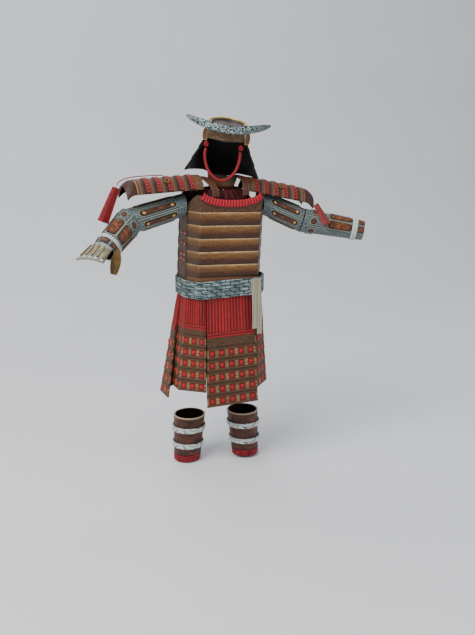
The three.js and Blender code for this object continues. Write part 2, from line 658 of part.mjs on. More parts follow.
// Neck guard: three flaring lames round the sides and back of the head, lowest in the middle of the back.
const NECK_GUARD = {
  top: 3.4, bottom: -21.0, topRadius: 13.0, flare: 11.6, lames: 3, span: 1.64, proud: 0.45,
  backDrop: 3.2, backNarrow: 4.5,
};
const guardAt = (u, z) => {
  const fall = (NECK_GUARD.top - z) / (NECK_GUARD.top - NECK_GUARD.bottom);
  const radius = NECK_GUARD.topRadius + NECK_GUARD.flare * fall;
  const angle = Math.PI / 2 + u * (NECK_GUARD.span + 0.08 * (1 - fall));
  const drop = NECK_GUARD.backDrop * fall * Math.max(0, Math.cos(u * NECK_GUARD.backNarrow)) ** 1.5;
  return new THREE.Vector3(radius * Math.cos(angle), radius * Math.sin(angle) * 0.94, z - drop);
};
const neckRelief = (u, z) => {
  const place = ((NECK_GUARD.top - z) / (NECK_GUARD.top - NECK_GUARD.bottom)) * NECK_GUARD.lames;
  return NECK_GUARD.proud * (place - Math.floor(place - 1e-6));
};
const neckRows = [];
for (let k = NECK_GUARD.lames; k > 0; k -= 1) {
  const edge = mix(NECK_GUARD.top, NECK_GUARD.bottom, k / NECK_GUARD.lames);
  neckRows.push(edge, mix(NECK_GUARD.top, NECK_GUARD.bottom, (k - 0.96) / NECK_GUARD.lames));
}
const neckGuard = wall(guardAt, steps(-1, 1, 18), neckRows, { inner: -CARD, outer: neckRelief });
add(head, 'helmet_neck_guard', neckGuard, COLOUR.darkLame);

// Chin cord: a round cord from temple to temple under the chin, with a red knot at each temple.
const CHIN_CORD_RADIUS = 1.0;
const chinPath = new THREE.CatmullRomCurve3([
  [-12.6, -8.2, -5.0], [-12.8, -8.8, -8.5], [-12.0, -9.6, -13], [-9.8, -11.0, -18], [-5.8, -12.4, -22.2],
  [-0.8, -12.9, -24.0], [4.0, -12.4, -22.2], [7.8, -11.0, -18], [9.6, -9.6, -13], [10.2, -8.8, -8.5],
  [10.0, -8.2, -5.0],
].map(([x, y, z]) => new THREE.Vector3(x, y, z)));
const cordGeometry = cord(CHIN_CORD_RADIUS, chinPath, 26);
add(head, 'chin_cord', cordGeometry, COLOUR.red);

for (const [name, place] of [['right', [-12.6, -8.0, -2.3]], ['left', [10.1, -8.0, -2.3]]]) {
  const knot = add(head, `temple_knot_${name}`, new THREE.SphereGeometry(1, 10, 7), COLOUR.red);
  knot.scale.set(1.7, 1.3, 2.2);
  knot.position.set(...place);
}

// Throat guard: a curved band below the chin.
const THROAT = { top: -21, bottom: -30, topRadius: 10.2, bottomRadius: 8.0, span: 1.9, x: 0.75, y: 0.5 };
const throatAt = (u, z) => {
  const rise = (z - THROAT.bottom) / (THROAT.top - THROAT.bottom);
  const radius = mix(THROAT.bottomRadius, THROAT.topRadius, rise);
  const angle = -Math.PI / 2 + u;
  return new THREE.Vector3(THROAT.x + radius * Math.cos(angle), THROAT.y + radius * Math.sin(angle), z);
};
const throatColumns = steps(-THROAT.span, THROAT.span, 14);
const throatGuard = wall(throatAt, throatColumns, steps(THROAT.bottom, THROAT.top, 2), SKIN);
add(head, 'throat_guard', throatGuard, COLOUR.lame);

// ---------------------------------------------------------------- shin guards
const SHINS = [
  { name: 'right', bottom: [-22.7, 9.2, -199.5], top: [-20.6, 8.6, -165.5] },
  { name: 'left', bottom: [19.6, 0.6, -198.6], top: [17.6, 1.2, -165] },
];
for (const shin of SHINS) {
  const level = new THREE.Vector3(0, 0, 1);
  const foot = new THREE.Vector3(...shin.bottom);
  const knee = new THREE.Vector3(...shin.top);
  const at = limb(foot, knee, SHIN.bottomRadius, SHIN.topRadius, level, level);
  const hem = SHIN.hem / SHIN.height;
  const guard = wall(at, aroundSteps(16), steps(hem, 1, 2), SKIN, true);
  add(armour, `shin_guard_${shin.name}`, guard, COLOUR.shin);
  const band = wall(at, aroundSteps(16), steps(0, hem - SEAM / SHIN.height, 1), SKIN, true);
  add(armour, `shin_hem_${shin.name}`, band, COLOUR.red);
  for (const [place, v] of [['lower', 0.3], ['upper', 0.66]]) {
    const tie = wall(at, aroundSteps(16), steps(v, v + 0.12, 1), OVERLAY, true);
    add(armour, `shin_tie_${place}_${shin.name}`, tie, COLOUR.tie);
  }
}

export default armour;
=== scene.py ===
import json
import math

import bpy
import numpy as np
from mathutils import Matrix, Vector
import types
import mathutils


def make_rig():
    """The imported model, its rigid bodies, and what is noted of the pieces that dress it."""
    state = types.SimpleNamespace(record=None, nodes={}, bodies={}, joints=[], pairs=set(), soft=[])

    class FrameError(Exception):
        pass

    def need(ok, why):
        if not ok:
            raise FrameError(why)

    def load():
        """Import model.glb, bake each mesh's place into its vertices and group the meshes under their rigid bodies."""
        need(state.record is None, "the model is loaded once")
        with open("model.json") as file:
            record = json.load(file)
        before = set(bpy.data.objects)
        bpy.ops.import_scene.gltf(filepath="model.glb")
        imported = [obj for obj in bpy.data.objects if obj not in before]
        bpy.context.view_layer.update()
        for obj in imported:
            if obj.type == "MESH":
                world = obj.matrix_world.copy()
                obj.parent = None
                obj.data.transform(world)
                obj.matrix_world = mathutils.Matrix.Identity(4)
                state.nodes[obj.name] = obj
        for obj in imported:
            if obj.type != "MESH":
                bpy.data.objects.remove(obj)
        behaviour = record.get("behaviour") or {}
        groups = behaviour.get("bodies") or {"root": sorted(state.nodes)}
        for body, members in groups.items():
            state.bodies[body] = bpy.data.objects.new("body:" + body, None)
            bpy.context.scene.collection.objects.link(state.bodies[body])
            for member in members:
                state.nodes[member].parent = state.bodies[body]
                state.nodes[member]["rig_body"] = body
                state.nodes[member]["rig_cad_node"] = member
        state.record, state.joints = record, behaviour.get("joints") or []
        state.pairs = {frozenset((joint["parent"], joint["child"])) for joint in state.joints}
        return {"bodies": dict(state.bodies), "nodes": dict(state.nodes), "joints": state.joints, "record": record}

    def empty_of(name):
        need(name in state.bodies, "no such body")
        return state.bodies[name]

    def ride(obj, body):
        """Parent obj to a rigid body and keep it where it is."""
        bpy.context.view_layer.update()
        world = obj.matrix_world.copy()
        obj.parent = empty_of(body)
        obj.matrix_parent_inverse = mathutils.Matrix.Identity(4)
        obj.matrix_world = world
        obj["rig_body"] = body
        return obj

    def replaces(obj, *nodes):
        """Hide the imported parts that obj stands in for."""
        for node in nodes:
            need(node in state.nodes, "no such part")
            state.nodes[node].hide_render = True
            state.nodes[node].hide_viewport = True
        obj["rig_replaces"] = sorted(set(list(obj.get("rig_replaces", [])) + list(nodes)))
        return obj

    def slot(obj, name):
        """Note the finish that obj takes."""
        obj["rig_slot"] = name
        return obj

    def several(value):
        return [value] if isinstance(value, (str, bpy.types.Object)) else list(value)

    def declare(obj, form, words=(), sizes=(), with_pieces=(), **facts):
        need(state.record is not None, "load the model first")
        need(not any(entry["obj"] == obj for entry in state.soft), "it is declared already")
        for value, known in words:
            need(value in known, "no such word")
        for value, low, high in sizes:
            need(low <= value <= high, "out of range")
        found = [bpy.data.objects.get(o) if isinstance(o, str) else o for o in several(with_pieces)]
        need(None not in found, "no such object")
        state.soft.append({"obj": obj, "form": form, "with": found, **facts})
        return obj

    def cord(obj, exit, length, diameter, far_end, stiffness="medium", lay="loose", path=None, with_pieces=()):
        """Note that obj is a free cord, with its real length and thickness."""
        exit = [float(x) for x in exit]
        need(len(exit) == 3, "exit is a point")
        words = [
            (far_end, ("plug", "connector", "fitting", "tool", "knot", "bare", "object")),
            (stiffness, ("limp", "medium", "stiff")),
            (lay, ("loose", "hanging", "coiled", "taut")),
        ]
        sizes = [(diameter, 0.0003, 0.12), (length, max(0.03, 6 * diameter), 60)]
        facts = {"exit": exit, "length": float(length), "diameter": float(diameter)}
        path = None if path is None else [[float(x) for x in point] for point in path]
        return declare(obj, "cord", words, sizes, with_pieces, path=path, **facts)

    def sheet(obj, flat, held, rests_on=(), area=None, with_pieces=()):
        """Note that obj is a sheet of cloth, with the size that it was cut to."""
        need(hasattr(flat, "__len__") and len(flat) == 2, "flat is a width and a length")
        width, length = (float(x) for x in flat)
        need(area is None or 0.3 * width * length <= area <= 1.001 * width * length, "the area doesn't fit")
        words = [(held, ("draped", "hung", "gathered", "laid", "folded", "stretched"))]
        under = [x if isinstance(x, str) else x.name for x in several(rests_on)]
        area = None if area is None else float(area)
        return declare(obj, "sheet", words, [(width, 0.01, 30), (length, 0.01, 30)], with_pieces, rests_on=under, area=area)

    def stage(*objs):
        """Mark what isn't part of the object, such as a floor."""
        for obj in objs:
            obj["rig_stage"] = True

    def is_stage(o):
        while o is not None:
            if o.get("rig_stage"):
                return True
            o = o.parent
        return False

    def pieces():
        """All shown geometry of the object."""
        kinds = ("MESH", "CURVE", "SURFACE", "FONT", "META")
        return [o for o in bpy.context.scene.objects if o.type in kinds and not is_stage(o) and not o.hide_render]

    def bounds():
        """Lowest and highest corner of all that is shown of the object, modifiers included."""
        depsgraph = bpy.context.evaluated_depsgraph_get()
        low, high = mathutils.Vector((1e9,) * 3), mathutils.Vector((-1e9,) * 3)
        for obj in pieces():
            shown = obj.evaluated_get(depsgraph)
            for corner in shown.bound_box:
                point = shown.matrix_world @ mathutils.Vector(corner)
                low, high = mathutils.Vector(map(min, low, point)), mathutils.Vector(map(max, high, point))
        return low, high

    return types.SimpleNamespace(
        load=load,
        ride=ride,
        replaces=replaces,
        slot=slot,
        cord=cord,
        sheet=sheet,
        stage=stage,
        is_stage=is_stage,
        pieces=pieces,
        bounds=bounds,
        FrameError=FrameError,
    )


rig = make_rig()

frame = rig.load()
cad_box = [list(corner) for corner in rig.bounds()]

# ---------------------------------------------------------------- the view and the light
# The figure stands on a pale sweep of paper under one broad soft light from the upper left, with
# a weaker one on its other side. The camera is at chest height, a little to the wearer's right.
MM = 0.001
VIEW_TURN = math.radians(-23)
VIEW_RISE = math.radians(15.4)
VIEW_DISTANCE = 617
CHEST = -70
VIEW_RIGHT = Vector((math.cos(VIEW_TURN), math.sin(VIEW_TURN), 0))
VIEW_TOWARD = Vector((math.sin(VIEW_TURN), -math.cos(VIEW_TURN), 0))
VIEW_BACK = VIEW_TOWARD * math.cos(VIEW_RISE) + Vector((0, 0, math.sin(VIEW_RISE)))
VIEW_AIM = VIEW_RIGHT * 12.3 + Vector((0, 0, -94))

lens = bpy.data.cameras.new("camera")
lens.lens = 50
lens.sensor_width = 36
lens.clip_start = 0.01
camera = bpy.data.objects.new("camera", lens)
camera.location = (VIEW_AIM + VIEW_BACK * VIEW_DISTANCE) * MM
camera.rotation_mode = "QUATERNION"
camera.rotation_quaternion = (-VIEW_BACK).to_track_quat("-Z", "Y")
bpy.context.collection.objects.link(camera)
bpy.context.scene.camera = camera


def soft_light(name, turn, rise, distance, size, power, colour):
    """A square soft light that looks at the chest from a turn and a rise about the figure."""
    data = bpy.data.lights.new(name, "AREA")
    data.shape = "SQUARE"
    data.size = size
    data.energy = power
    data.color = colour
    light = bpy.data.objects.new(name, data)
    turn, rise = math.radians(turn), math.radians(rise)
    back = Vector((math.sin(turn) * math.cos(rise), -math.cos(turn) * math.cos(rise), math.sin(rise)))
    light.location = back * distance + Vector((0, 0, CHEST * MM))
    light.rotation_mode = "QUATERNION"
    light.rotation_quaternion = (-back).to_track_quat("-Z", "Y")
    bpy.context.collection.objects.link(light)


soft_light("window_light", turn=-62, rise=48, distance=0.95, size=0.6, power=11.0, colour=(1.0, 0.98, 0.95))
soft_light("room_light", turn=48, rise=28, distance=1.1, size=0.8, power=3.2, colour=(0.92, 0.96, 1.0))
soft_light("back_light", turn=178, rise=55, distance=1.1, size=0.7, power=4.0, colour=(1.0, 1.0, 1.0))

world = bpy.data.worlds.new("room")
world.use_nodes = True
world.node_tree.nodes["Background"].inputs[0].default_value = (0.80, 0.84, 0.90, 1)
world.node_tree.nodes["Background"].inputs[1].default_value = 0.55
bpy.context.scene.world = world


def tint(red, green, blue):
    """A paint colour from 0 to 255 a channel, as it looks, made deep enough for this light."""
    return tuple((channel / 255) ** 2.6 for channel in (red, green, blue)) + (1.0,)


class Value:
    """One socket of a material. Arithmetic written on it adds the nodes that work it out."""

    def __init__(self, finish, socket):
        self.finish = finish
        self.socket = socket

    def maths(self, operation, first, second=0.0):
        return self.finish.node("ShaderNodeMath", {"operation": operation}, {0: first, 1: second})

    def __add__(self, other):
        return self.maths("ADD", self, other)

    __radd__ = __add__

    def __sub__(self, other):
        return self.maths("SUBTRACT", self, other)

    def __rsub__(self, other):
        return self.maths("SUBTRACT", other, self)

    def __mul__(self, other):
        return self.maths("MULTIPLY", self, other)

    __rmul__ = __mul__

    def __truediv__(self, other):
        return self.maths("DIVIDE", self, other)

    def __pow__(self, other):
        return self.maths("POWER", self, other)

    def __abs__(self):
        return self.maths("ABSOLUTE", self)

    def floor(self):
        return self.maths("FLOOR", self)

    def fraction(self):
        return self.maths("FRACT", self)

    def sine(self):
        return self.maths("SINE", self)


class Finish:
    """A material: one Principled shader and the nodes that feed its colour, roughness and relief."""

    def __init__(self, name, roughness=0.6, metallic=0.0, specular=0.35):
        self.material = bpy.data.materials.new(name)
        self.material.use_nodes = True
        self.tree = self.material.node_tree
        self.tree.nodes.clear()
        end = self.tree.nodes.new("ShaderNodeOutputMaterial")
        self.shader = self.tree.nodes.new("ShaderNodeBsdfPrincipled")
        self.tree.links.new(self.shader.outputs[0], end.inputs[0])
        self.shader.inputs["Roughness"].default_value = roughness
        self.shader.inputs["Metallic"].default_value = metallic
        self.shader.inputs["Specular IOR Level"].default_value = specular

    def node(self, kind, settings, sockets, output=0):
        made = self.tree.nodes.new(kind)
        for key, setting in settings.items():
            if key == "stops":
                ramp = made.color_ramp
                while len(ramp.elements) < len(setting):
                    ramp.elements.new(0.5)
                for element, (position, colour) in zip(ramp.elements, setting):
                    element.position = position
                    element.color = colour
            else:
                setattr(made, key, setting)
        for key, value in sockets.items():
            if isinstance(value, Value):
                self.tree.links.new(value.socket, made.inputs[key])
            else:
                made.inputs[key].default_value = value
        return Value(self, made.outputs[output])

    def feed(self, socket, value):
        self.tree.links.new(value.socket, self.shader.inputs[socket])

    def across_and_along(self):
        """The two ways over the flat card, as the piece's own cut map holds them."""
        cut = self.node("ShaderNodeUVMap", {"uv_map": "cut"}, {})
        parts = self.tree.nodes.new("ShaderNodeSeparateXYZ")
        self.tree.links.new(cut.socket, parts.inputs[0])
        return Value(self, parts.outputs[0]), Value(self, parts.outputs[1])

    def spot(self, across, along):
        """The place on the card that a grain is read at, from its two ways."""
        return self.node("ShaderNodeCombineXYZ", {}, {0: across, 1: along})

    def on_object(self):
        return self.node("ShaderNodeTexCoord", {}, {}, output=3)

    def grain(self, vector, scale, detail=3.0, roughness=0.55):
        sockets = {"Vector": vector, "Scale": scale, "Detail": detail, "Roughness": roughness}
        return self.node("ShaderNodeTexNoise", {}, sockets)

    def chance(self, vector):
        """A random value from 0 to 1 for each spot."""
        return self.node("ShaderNodeTexWhiteNoise", {"noise_dimensions": "2D"}, {"Vector": vector})

    def rise(self, value, low, high):
        """0 below low, 1 above high, and an even slope with soft ends between them."""
        sockets = {0: value, 1: low, 2: high, 3: 0.0, 4: 1.0}
        return self.node("ShaderNodeMapRange", {"interpolation_type": "SMOOTHSTEP"}, sockets)

    def band(self, value, low, high, soft):
        """1 between low and high and 0 outside them, with ends twice soft wide."""
        return self.rise(value, low - soft, low + soft) * (1 - self.rise(value, high - soft, high + soft))

    def blend(self, share, first, second):
        sockets = {0: share, 6: first, 7: second}
        return self.node("ShaderNodeMix", {"data_type": "RGBA"}, sockets, output=2)

    def ramp(self, value, stops):
        return self.node("ShaderNodeValToRGB", {"stops": stops}, {0: value})

    def shade(self, colour, value, low, high):
        """A colour made darker or lighter, from low to high times itself, as value goes 0 to 1."""
        grey = self.node("ShaderNodeMapRange", {}, {0: value, 1: 0.0, 2: 1.0, 3: low, 4: high})
        sockets = {0: 1.0, 6: colour, 7: grey}
        settings = {"data_type": "RGBA", "blend_type": "MULTIPLY"}
        return self.node("ShaderNodeMix", settings, sockets, output=2)

    def emboss(self, height, depth, strength=1.0):
        sockets = {"Height": height, "Distance": depth * MM, "Strength": strength}
        self.feed("Normal", self.node("ShaderNodeBump", {}, sockets))


paper = Finish("pale_paper", roughness=0.9, specular=0.1)
paper_grain = paper.grain(paper.on_object(), 9.0, 2.0)
paper.feed("Base Color", paper.blend(paper_grain, tint(220, 221, 224), tint(227, 228, 230)))

FLOOR = -200.4
SWEEP_HALF_WIDTH = 1600
# y and height of each line of the sweep, from before the figure to behind it
SWEEP = [(-900, 0), (350, 0), (520, 30), (640, 110), (700, 240), (720, 900)]
sweep_mesh = bpy.data.meshes.new("paper_sweep")
sweep_points = [(x * MM, y * MM, (FLOOR + z) * MM) for y, z in SWEEP
                for x in (-SWEEP_HALF_WIDTH, SWEEP_HALF_WIDTH)]
sweep_faces = [(2 * k, 2 * k + 1, 2 * k + 3, 2 * k + 2) for k in range(len(SWEEP) - 1)]
sweep_mesh.from_pydata(sweep_points, [], sweep_faces)
sweep_mesh.materials.append(paper.material)
sweep_mesh.polygons.foreach_set("use_smooth", [True] * len(sweep_faces))
sweep = bpy.data.objects.new("paper_sweep", sweep_mesh)
bpy.context.collection.objects.link(sweep)
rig.stage(sweep)

# ---------------------------------------------------------------- cords
# The chin cord is a soft red cord of two strands that hangs from temple to temple under the chin
# and ends in a knot at each. A thinner one runs along the right shoulder guard to its tassel.
HEAD = Matrix.Translation((2.6, -5, 27)) @ Matrix.Rotation(-0.35, 4, "Z") @ Matrix.Rotation(0.13, 4, "Y")
CHIN_CORD_LENGTH = 50.0
CHIN_CORD_THICK = 2.0
GUARD_CORD_LENGTH = 37.9
GUARD_CORD_THICK = 0.7
STRAND_HOLLOW = 0.16


def moved(points, matrix):
    """Points turned and shifted as a matrix says."""
    points = np.asarray(points, float)
    turn = np.array(matrix.to_3x3())
    return points @ turn.T + np.array(matrix.translation)


def smooth_line(points, count):
    """A curve through the points, with count steps from each one to the next."""
    points = np.asarray(points, float)
    padded = np.vstack([2 * points[0] - points[1], points, 2 * points[-1] - points[-2]])
    line = []
    for k in range(len(points) - 1):
        p, q, r, s = padded[k:k + 4]
        for t in np.arange(count) / count:
            line.append(0.5 * (2 * q + (r - p) * t + (2 * p - 5 * q + 4 * r - s) * t ** 2
                               + (3 * q - p - 3 * r + s) * t ** 3))
    return np.array(line + [points[-1]])


def make_mesh(name, points, faces, cut, finishes, which=None, sharp=40):
    """A mesh from points in millimetres, with the cut map's values for each corner of its faces."""
    mesh = bpy.data.meshes.new(name)
    mesh.from_pydata((np.asarray(points) * MM).tolist(), [], [list(face) for face in faces])
    layer = mesh.uv_layers.new(name="cut")
    layer.data.foreach_set("uv", np.asarray(cut, float).ravel())
    for finish in finishes:
        mesh.materials.append(finish.material)
    if which is not None:
        mesh.polygons.foreach_set("material_index", which)
    mesh.polygons.foreach_set("use_smooth", [True] * len(faces))
    mesh.set_sharp_from_angle(angle=math.radians(sharp))
    mesh.update()
    piece = bpy.data.objects.new(name, mesh)
    bpy.context.collection.objects.link(piece)
    return piece


def fit_out(piece, slot, *nodes):
    """The piece rides on the suit, takes its finish from a slot and stands for CAD nodes."""
    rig.ride(piece, "root")
    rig.slot(piece, slot)
    if nodes:
        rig.replaces(piece, *nodes)


def cord_mesh(name, line, radius, finishes, lay=0.0, sides=12, closed=False):
    """A round cord along a line of points. lay is the length in which its two strands turn once."""
    line = np.asarray(line, float)
    count = len(line)
    ahead = np.roll(line, -1, 0) - np.roll(line, 1, 0) if closed else np.gradient(line, axis=0)
    ahead /= np.linalg.norm(ahead, axis=1, keepdims=True)
    lengths = np.concatenate([[0], np.cumsum(np.linalg.norm(np.diff(line, axis=0), axis=1))])
    side = np.cross(ahead[0], (0.3, 0.2, 1.0))
    rings = []
    for k in range(count):
        side = side - ahead[k] * side.dot(ahead[k])
        side /= np.linalg.norm(side)
        up = np.cross(ahead[k], side)
        angles = np.arange(sides) / sides * 2 * math.pi
        twist = lengths[k] / lay * 2 * math.pi if lay else 0
        reach = radius * (1 - (STRAND_HOLLOW * np.sin(angles - twist) ** 2 if lay else 0 * angles))
        rings.append(line[k] + reach[:, None] * (np.cos(angles)[:, None] * side
                                                 + np.sin(angles)[:, None] * up))
    points = np.vstack(rings)
    faces, cut = [], []
    for k in range(count if closed else count - 1):
        after = (k + 1) % count
        for i in range(sides):
            j = (i + 1) % sides
            faces.append((k * sides + i, k * sides + j, after * sides + j, after * sides + i))
            low = lengths[k]
            high = low + lengths[1] if after == 0 else lengths[after]
            cut += [(i, low), (i + 1, low), (i + 1, high), (i, high)]
    if not closed:
        faces.append(tuple(reversed(range(sides))))
        faces.append(tuple(range((count - 1) * sides, count * sides)))
        cut += [(0, 0)] * (2 * sides)
    return make_mesh(name, points, faces, cut, finishes, sharp=60)


red_cord = Finish("red_cord", roughness=0.7)
cord_round, cord_along = red_cord.across_and_along()
# Painted shade in the groove between the two strands.
cord_strand = red_cord.rise(abs((cord_round / 6 - cord_along / 1.6).fraction() - 0.5), 0.0, 0.16)
cord_fuzz = red_cord.grain(red_cord.on_object(), 2600.0, 2.0)
cord_red = red_cord.ramp(cord_fuzz, [(0.3, tint(126, 24, 34)), (0.7, tint(178, 50, 56))])
red_cord.feed("Base Color", red_cord.shade(cord_red, cord_strand, 0.45, 1.0))
red_cord.emboss(cord_strand + cord_fuzz * 0.3, 0.12)

CHIN_LINE = [
    (-12.6, -8.2, -5.0), (-12.8, -8.8, -8.5), (-12.0, -9.6, -13), (-9.8, -11.0, -18),
    (-5.8, -12.4, -22.2), (-0.8, -12.9, -24.0), (4.0, -12.4, -22.2), (7.8, -11.0, -18),
    (9.6, -9.6, -13), (10.2, -8.8, -8.5), (10.0, -8.2, -5.0),
]
chin_line = moved(smooth_line(CHIN_LINE, 8), HEAD)
chin_cord = cord_mesh("chin_cord_strands", chin_line, CHIN_CORD_THICK / 2, [red_cord], lay=5.0)
fit_out(chin_cord, "red_cord", "chin_cord")

GUARD_LINE = [
    (-72.4, -6.4, 2.2), (-71.2, -5.2, 3.7), (-68.6, -3.6, 4.9), (-64.5, -2.0, 5.9), (-59.5, -0.8, 6.4),
    (-54, 0.2, 6.5), (-49, 1.2, 6.5), (-44.5, 2.2, 6.4), (-41, 3.2, 6.2), (-38.0, 4.2, 5.9),
]
guard_line = smooth_line(GUARD_LINE, 6)
guard_cord = cord_mesh("guard_cord_strands", guard_line, GUARD_CORD_THICK / 2, [red_cord], lay=2.0, sides=8)
fit_out(guard_cord, "red_cord", "guard_cord_right")

# Each temple knot is the cord tied once round itself into a small round fist.
KNOT_PLACES = {"right": (-12.6, -8.0, -2.3), "left": (10.1, -8.0, -2.3)}
KNOT_WIDE, KNOT_DEEP, KNOT_TALL = 0.95, 0.5, 1.25
KNOT_STRAND = 0.62
knot_turn = np.arange(84) / 84 * 2 * math.pi
for side, place in KNOT_PLACES.items():
    reach = 0.86 + 0.36 * np.cos(3 * knot_turn)
    fist = np.stack([reach * np.cos(2 * knot_turn) * KNOT_WIDE, KNOT_DEEP * np.sin(3 * knot_turn),
                     reach * np.sin(2 * knot_turn) * KNOT_TALL], axis=1)
    knot_line = moved(fist + np.array(place), HEAD)
    knot = cord_mesh(f"temple_knot_{side}_cord", knot_line, KNOT_STRAND, [red_cord], lay=3.0, sides=10,
                     closed=True)
    fit_out(knot, "lacing_card", f"temple_knot_{side}")

chin_path, guard_path = ([[c * MM for c in point] for point in line] for line in (chin_line, guard_line))
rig.cord(chin_cord, exit=chin_path[0], length=CHIN_CORD_LENGTH * MM, diameter=CHIN_CORD_THICK * MM,
        far_end="object", stiffness="limp", lay="hanging", path=chin_path,
        with_pieces=["temple_knot_right_cord", "temple_knot_left_cord"])
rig.cord(guard_cord, exit=guard_path[0], length=GUARD_CORD_LENGTH * MM, diameter=GUARD_CORD_THICK * MM,
        far_end="object", stiffness="limp", lay="loose", path=guard_path)

# ---------------------------------------------------------------- breast and back plates
# Breast and back are each one sheet folded to four creases, with five rounded lames in brown lacquer
# pressed into it. They are glued to the side strips under the arms and lean a little to the left.
CARD = 1.0
# half width of the front face, half width, half depth and slant of the eight-sided waist
WAIST = (21.2, 27.0, 17.6, 9.4)
LEAN = 0.052
LEAN_HEIGHT = -45
PLATE_BOTTOM = -67.8
PLATE_FLAT = (0.0645, 0.061)
LAMES = 5
LAME_LOWEST = -61.3
LAME_HEIGHT = 8.75
LAME_PROUD = 0.42
YOKE = -17.55
SHOULDER = -6.8
SHOULDER_FLAT_HALF = 24.5
SHOULDER_DROP = 6.7


def box_run(face, half_width, half_depth, slant):
    """Corners of half of the eight-sided tube, with the run to each from the front centre."""
    x = np.array([0, face, half_width, half_width, face, 0])
    y = np.array([-half_depth, -half_depth, slant - half_depth, half_depth - slant, half_depth, half_depth])
    return x, y, np.concatenate([[0], np.cumsum(np.hypot(np.diff(x), np.diff(y)))])


def on_box(share, z, box):
    """Points of the tube at a share of the full turn from the front centre, and a height."""
    x, y, run = box_run(*box)
    turn = share - np.round(share)
    length = 2 * np.abs(turn) * run[-1]
    place = np.where(turn < 0, -1, 1) * np.interp(length, run, x)
    return np.stack([place, np.interp(length, run, y), z + 0 * share], axis=-1)


def leaned(points):
    """The trunk's points turned a little to the wearer's left about its middle height."""
    x, y, z = np.moveaxis(points, -1, 0)
    rise = z - LEAN_HEIGHT
    return np.stack([x * math.cos(LEAN) + rise * math.sin(LEAN), y,
                     LEAN_HEIGHT + rise * math.cos(LEAN) - x * math.sin(LEAN)], axis=-1)


def wall_parts(grid, cut, outer, inner, wrap=False, back=0):
    """Points, faces, cut map and finish of a closed wall over rows and columns of points, between
    two distances along its outward side. A wrapped wall's cut has one column more."""
    grid = np.asarray(grid, float)
    rows, columns = grid.shape[:2]
    along = np.roll(grid, -1, 1) - np.roll(grid, 1, 1) if wrap else np.gradient(grid, axis=1)
    side = np.cross(along, np.gradient(grid, axis=0))
    side /= np.maximum(np.linalg.norm(side, axis=2, keepdims=True), 1e-9)
    layers = [grid + side * (np.zeros((rows, columns)) + reach)[..., None] for reach in (outer, inner)]
    points = np.vstack([layer.reshape(-1, 3) for layer in layers])
    across = columns if wrap else columns - 1
    cut_columns = cut.shape[1]

    def corner(i, j, layer):
        return layer * rows * columns + j * columns + i % columns, j * cut_columns + i

    quads, which = [], []
    for j in range(rows - 1):
        for i in range(across):
            quads.append([corner(*c, 0) for c in ((i, j), (i + 1, j), (i + 1, j + 1), (i, j + 1))])
            quads.append([corner(*c, 1) for c in ((i, j), (i, j + 1), (i + 1, j + 1), (i + 1, j))])
            which += [0, back]
    edges = [(((i + 1, 0), (i, 0)), ((i, rows - 1), (i + 1, rows - 1))) for i in range(across)]
    if not wrap:
        last = columns - 1
        edges += [(((0, j), (0, j + 1)), ((last, j + 1), (last, j))) for j in range(rows - 1)]
    for pair in edges:
        for a, b in pair:
            quads.append([corner(*a, 0), corner(*b, 0), corner(*b, 1), corner(*a, 1)])
            which.append(0)
    faces = [[v for v, _ in quad] for quad in quads]
    spots = np.array([c for quad in quads for _, c in quad])
    return points, faces, cut.reshape(-1, 2)[spots], which


def shell(name, grid, cut, finishes, outer=0.0, inner=-CARD, wrap=False):
    """One sheet of card or cloth as a piece. Its second finish, if there is one, is its back."""
    points, faces, spots, which = wall_parts(grid, cut, outer, inner, wrap, len(finishes) - 1)
    return make_mesh(name, points, faces, spots, finishes, which)


def plates(name, parts, finishes):
    """Several small plates as one piece; each part is its grid, cut map, outer and inner faces."""
    points, faces, spots = [], [], []
    for grid, cut, outer, inner in parts:
        start = sum(len(p) for p in points)
        made = wall_parts(grid, cut, outer, inner)
        points.append(made[0])
        faces += [[v + start for v in face] for face in made[1]]
        spots.append(made[2])
    return make_mesh(name, np.vstack(points), faces, np.vstack(spots), finishes)


def flat_cut(across, along):
    """The cut map of a sheet whose columns and rows are at these places, in millimetres."""
    return np.stack(np.meshgrid(across, along), axis=-1)


waist_run = box_run(*WAIST)[2]
PLATE_EDGE, HALF_TURN = waist_run[2], waist_run[-1]
TURN = 2 * HALF_TURN

# Where the print ends, the back of the card is coloured dark: painted shade for the insides and undersides, which lie
# in shadow.
dark_back_shade = Finish("painted_shade_card_back", roughness=0.85, specular=0.15)
bare_grain = dark_back_shade.grain(dark_back_shade.on_object(), 700.0, 4.0)
dark_back_shade.feed("Base Color", dark_back_shade.blend(bare_grain, tint(30, 25, 23), tint(52, 42, 38)))
dark_back_shade.emboss(bare_grain, 0.05)

lacquer = Finish("brown_lacquered_lames", roughness=0.5, specular=0.4)
plate_run, plate_level = lacquer.across_and_along()
lame_place = ((plate_level - LAME_LOWEST) / LAME_HEIGHT).fraction()
# The ramp paints a bright highlight along the top of each lame and shade towards its foot: partly the card's print and
# partly painted light.
LAME_STOPS = [
    (0.0, tint(36, 24, 18)), (0.06, tint(72, 46, 31)), (0.3, tint(84, 54, 35)), (0.42, tint(94, 61, 37)),
    (0.52, tint(112, 78, 44)), (0.74, tint(126, 92, 54)), (0.88, tint(146, 112, 72)),
    (0.955, tint(196, 166, 124)), (1.0, tint(52, 36, 26)),
]
lame_colour = lacquer.ramp(lame_place, LAME_STOPS)
brush = lacquer.grain(lacquer.spot(plate_run * 0.1, plate_level * 0.5), 1.2, 4.0, 0.6)
mottle = lacquer.grain(lacquer.spot(plate_run, plate_level), 0.55, 6.0, 0.75)
lame_colour = lacquer.shade(lame_colour, lacquer.rise(brush, 0.25, 0.75), 0.7, 1.28)
lame_colour = lacquer.shade(lame_colour, lacquer.rise(mottle, 0.3, 0.7), 0.66, 1.3)
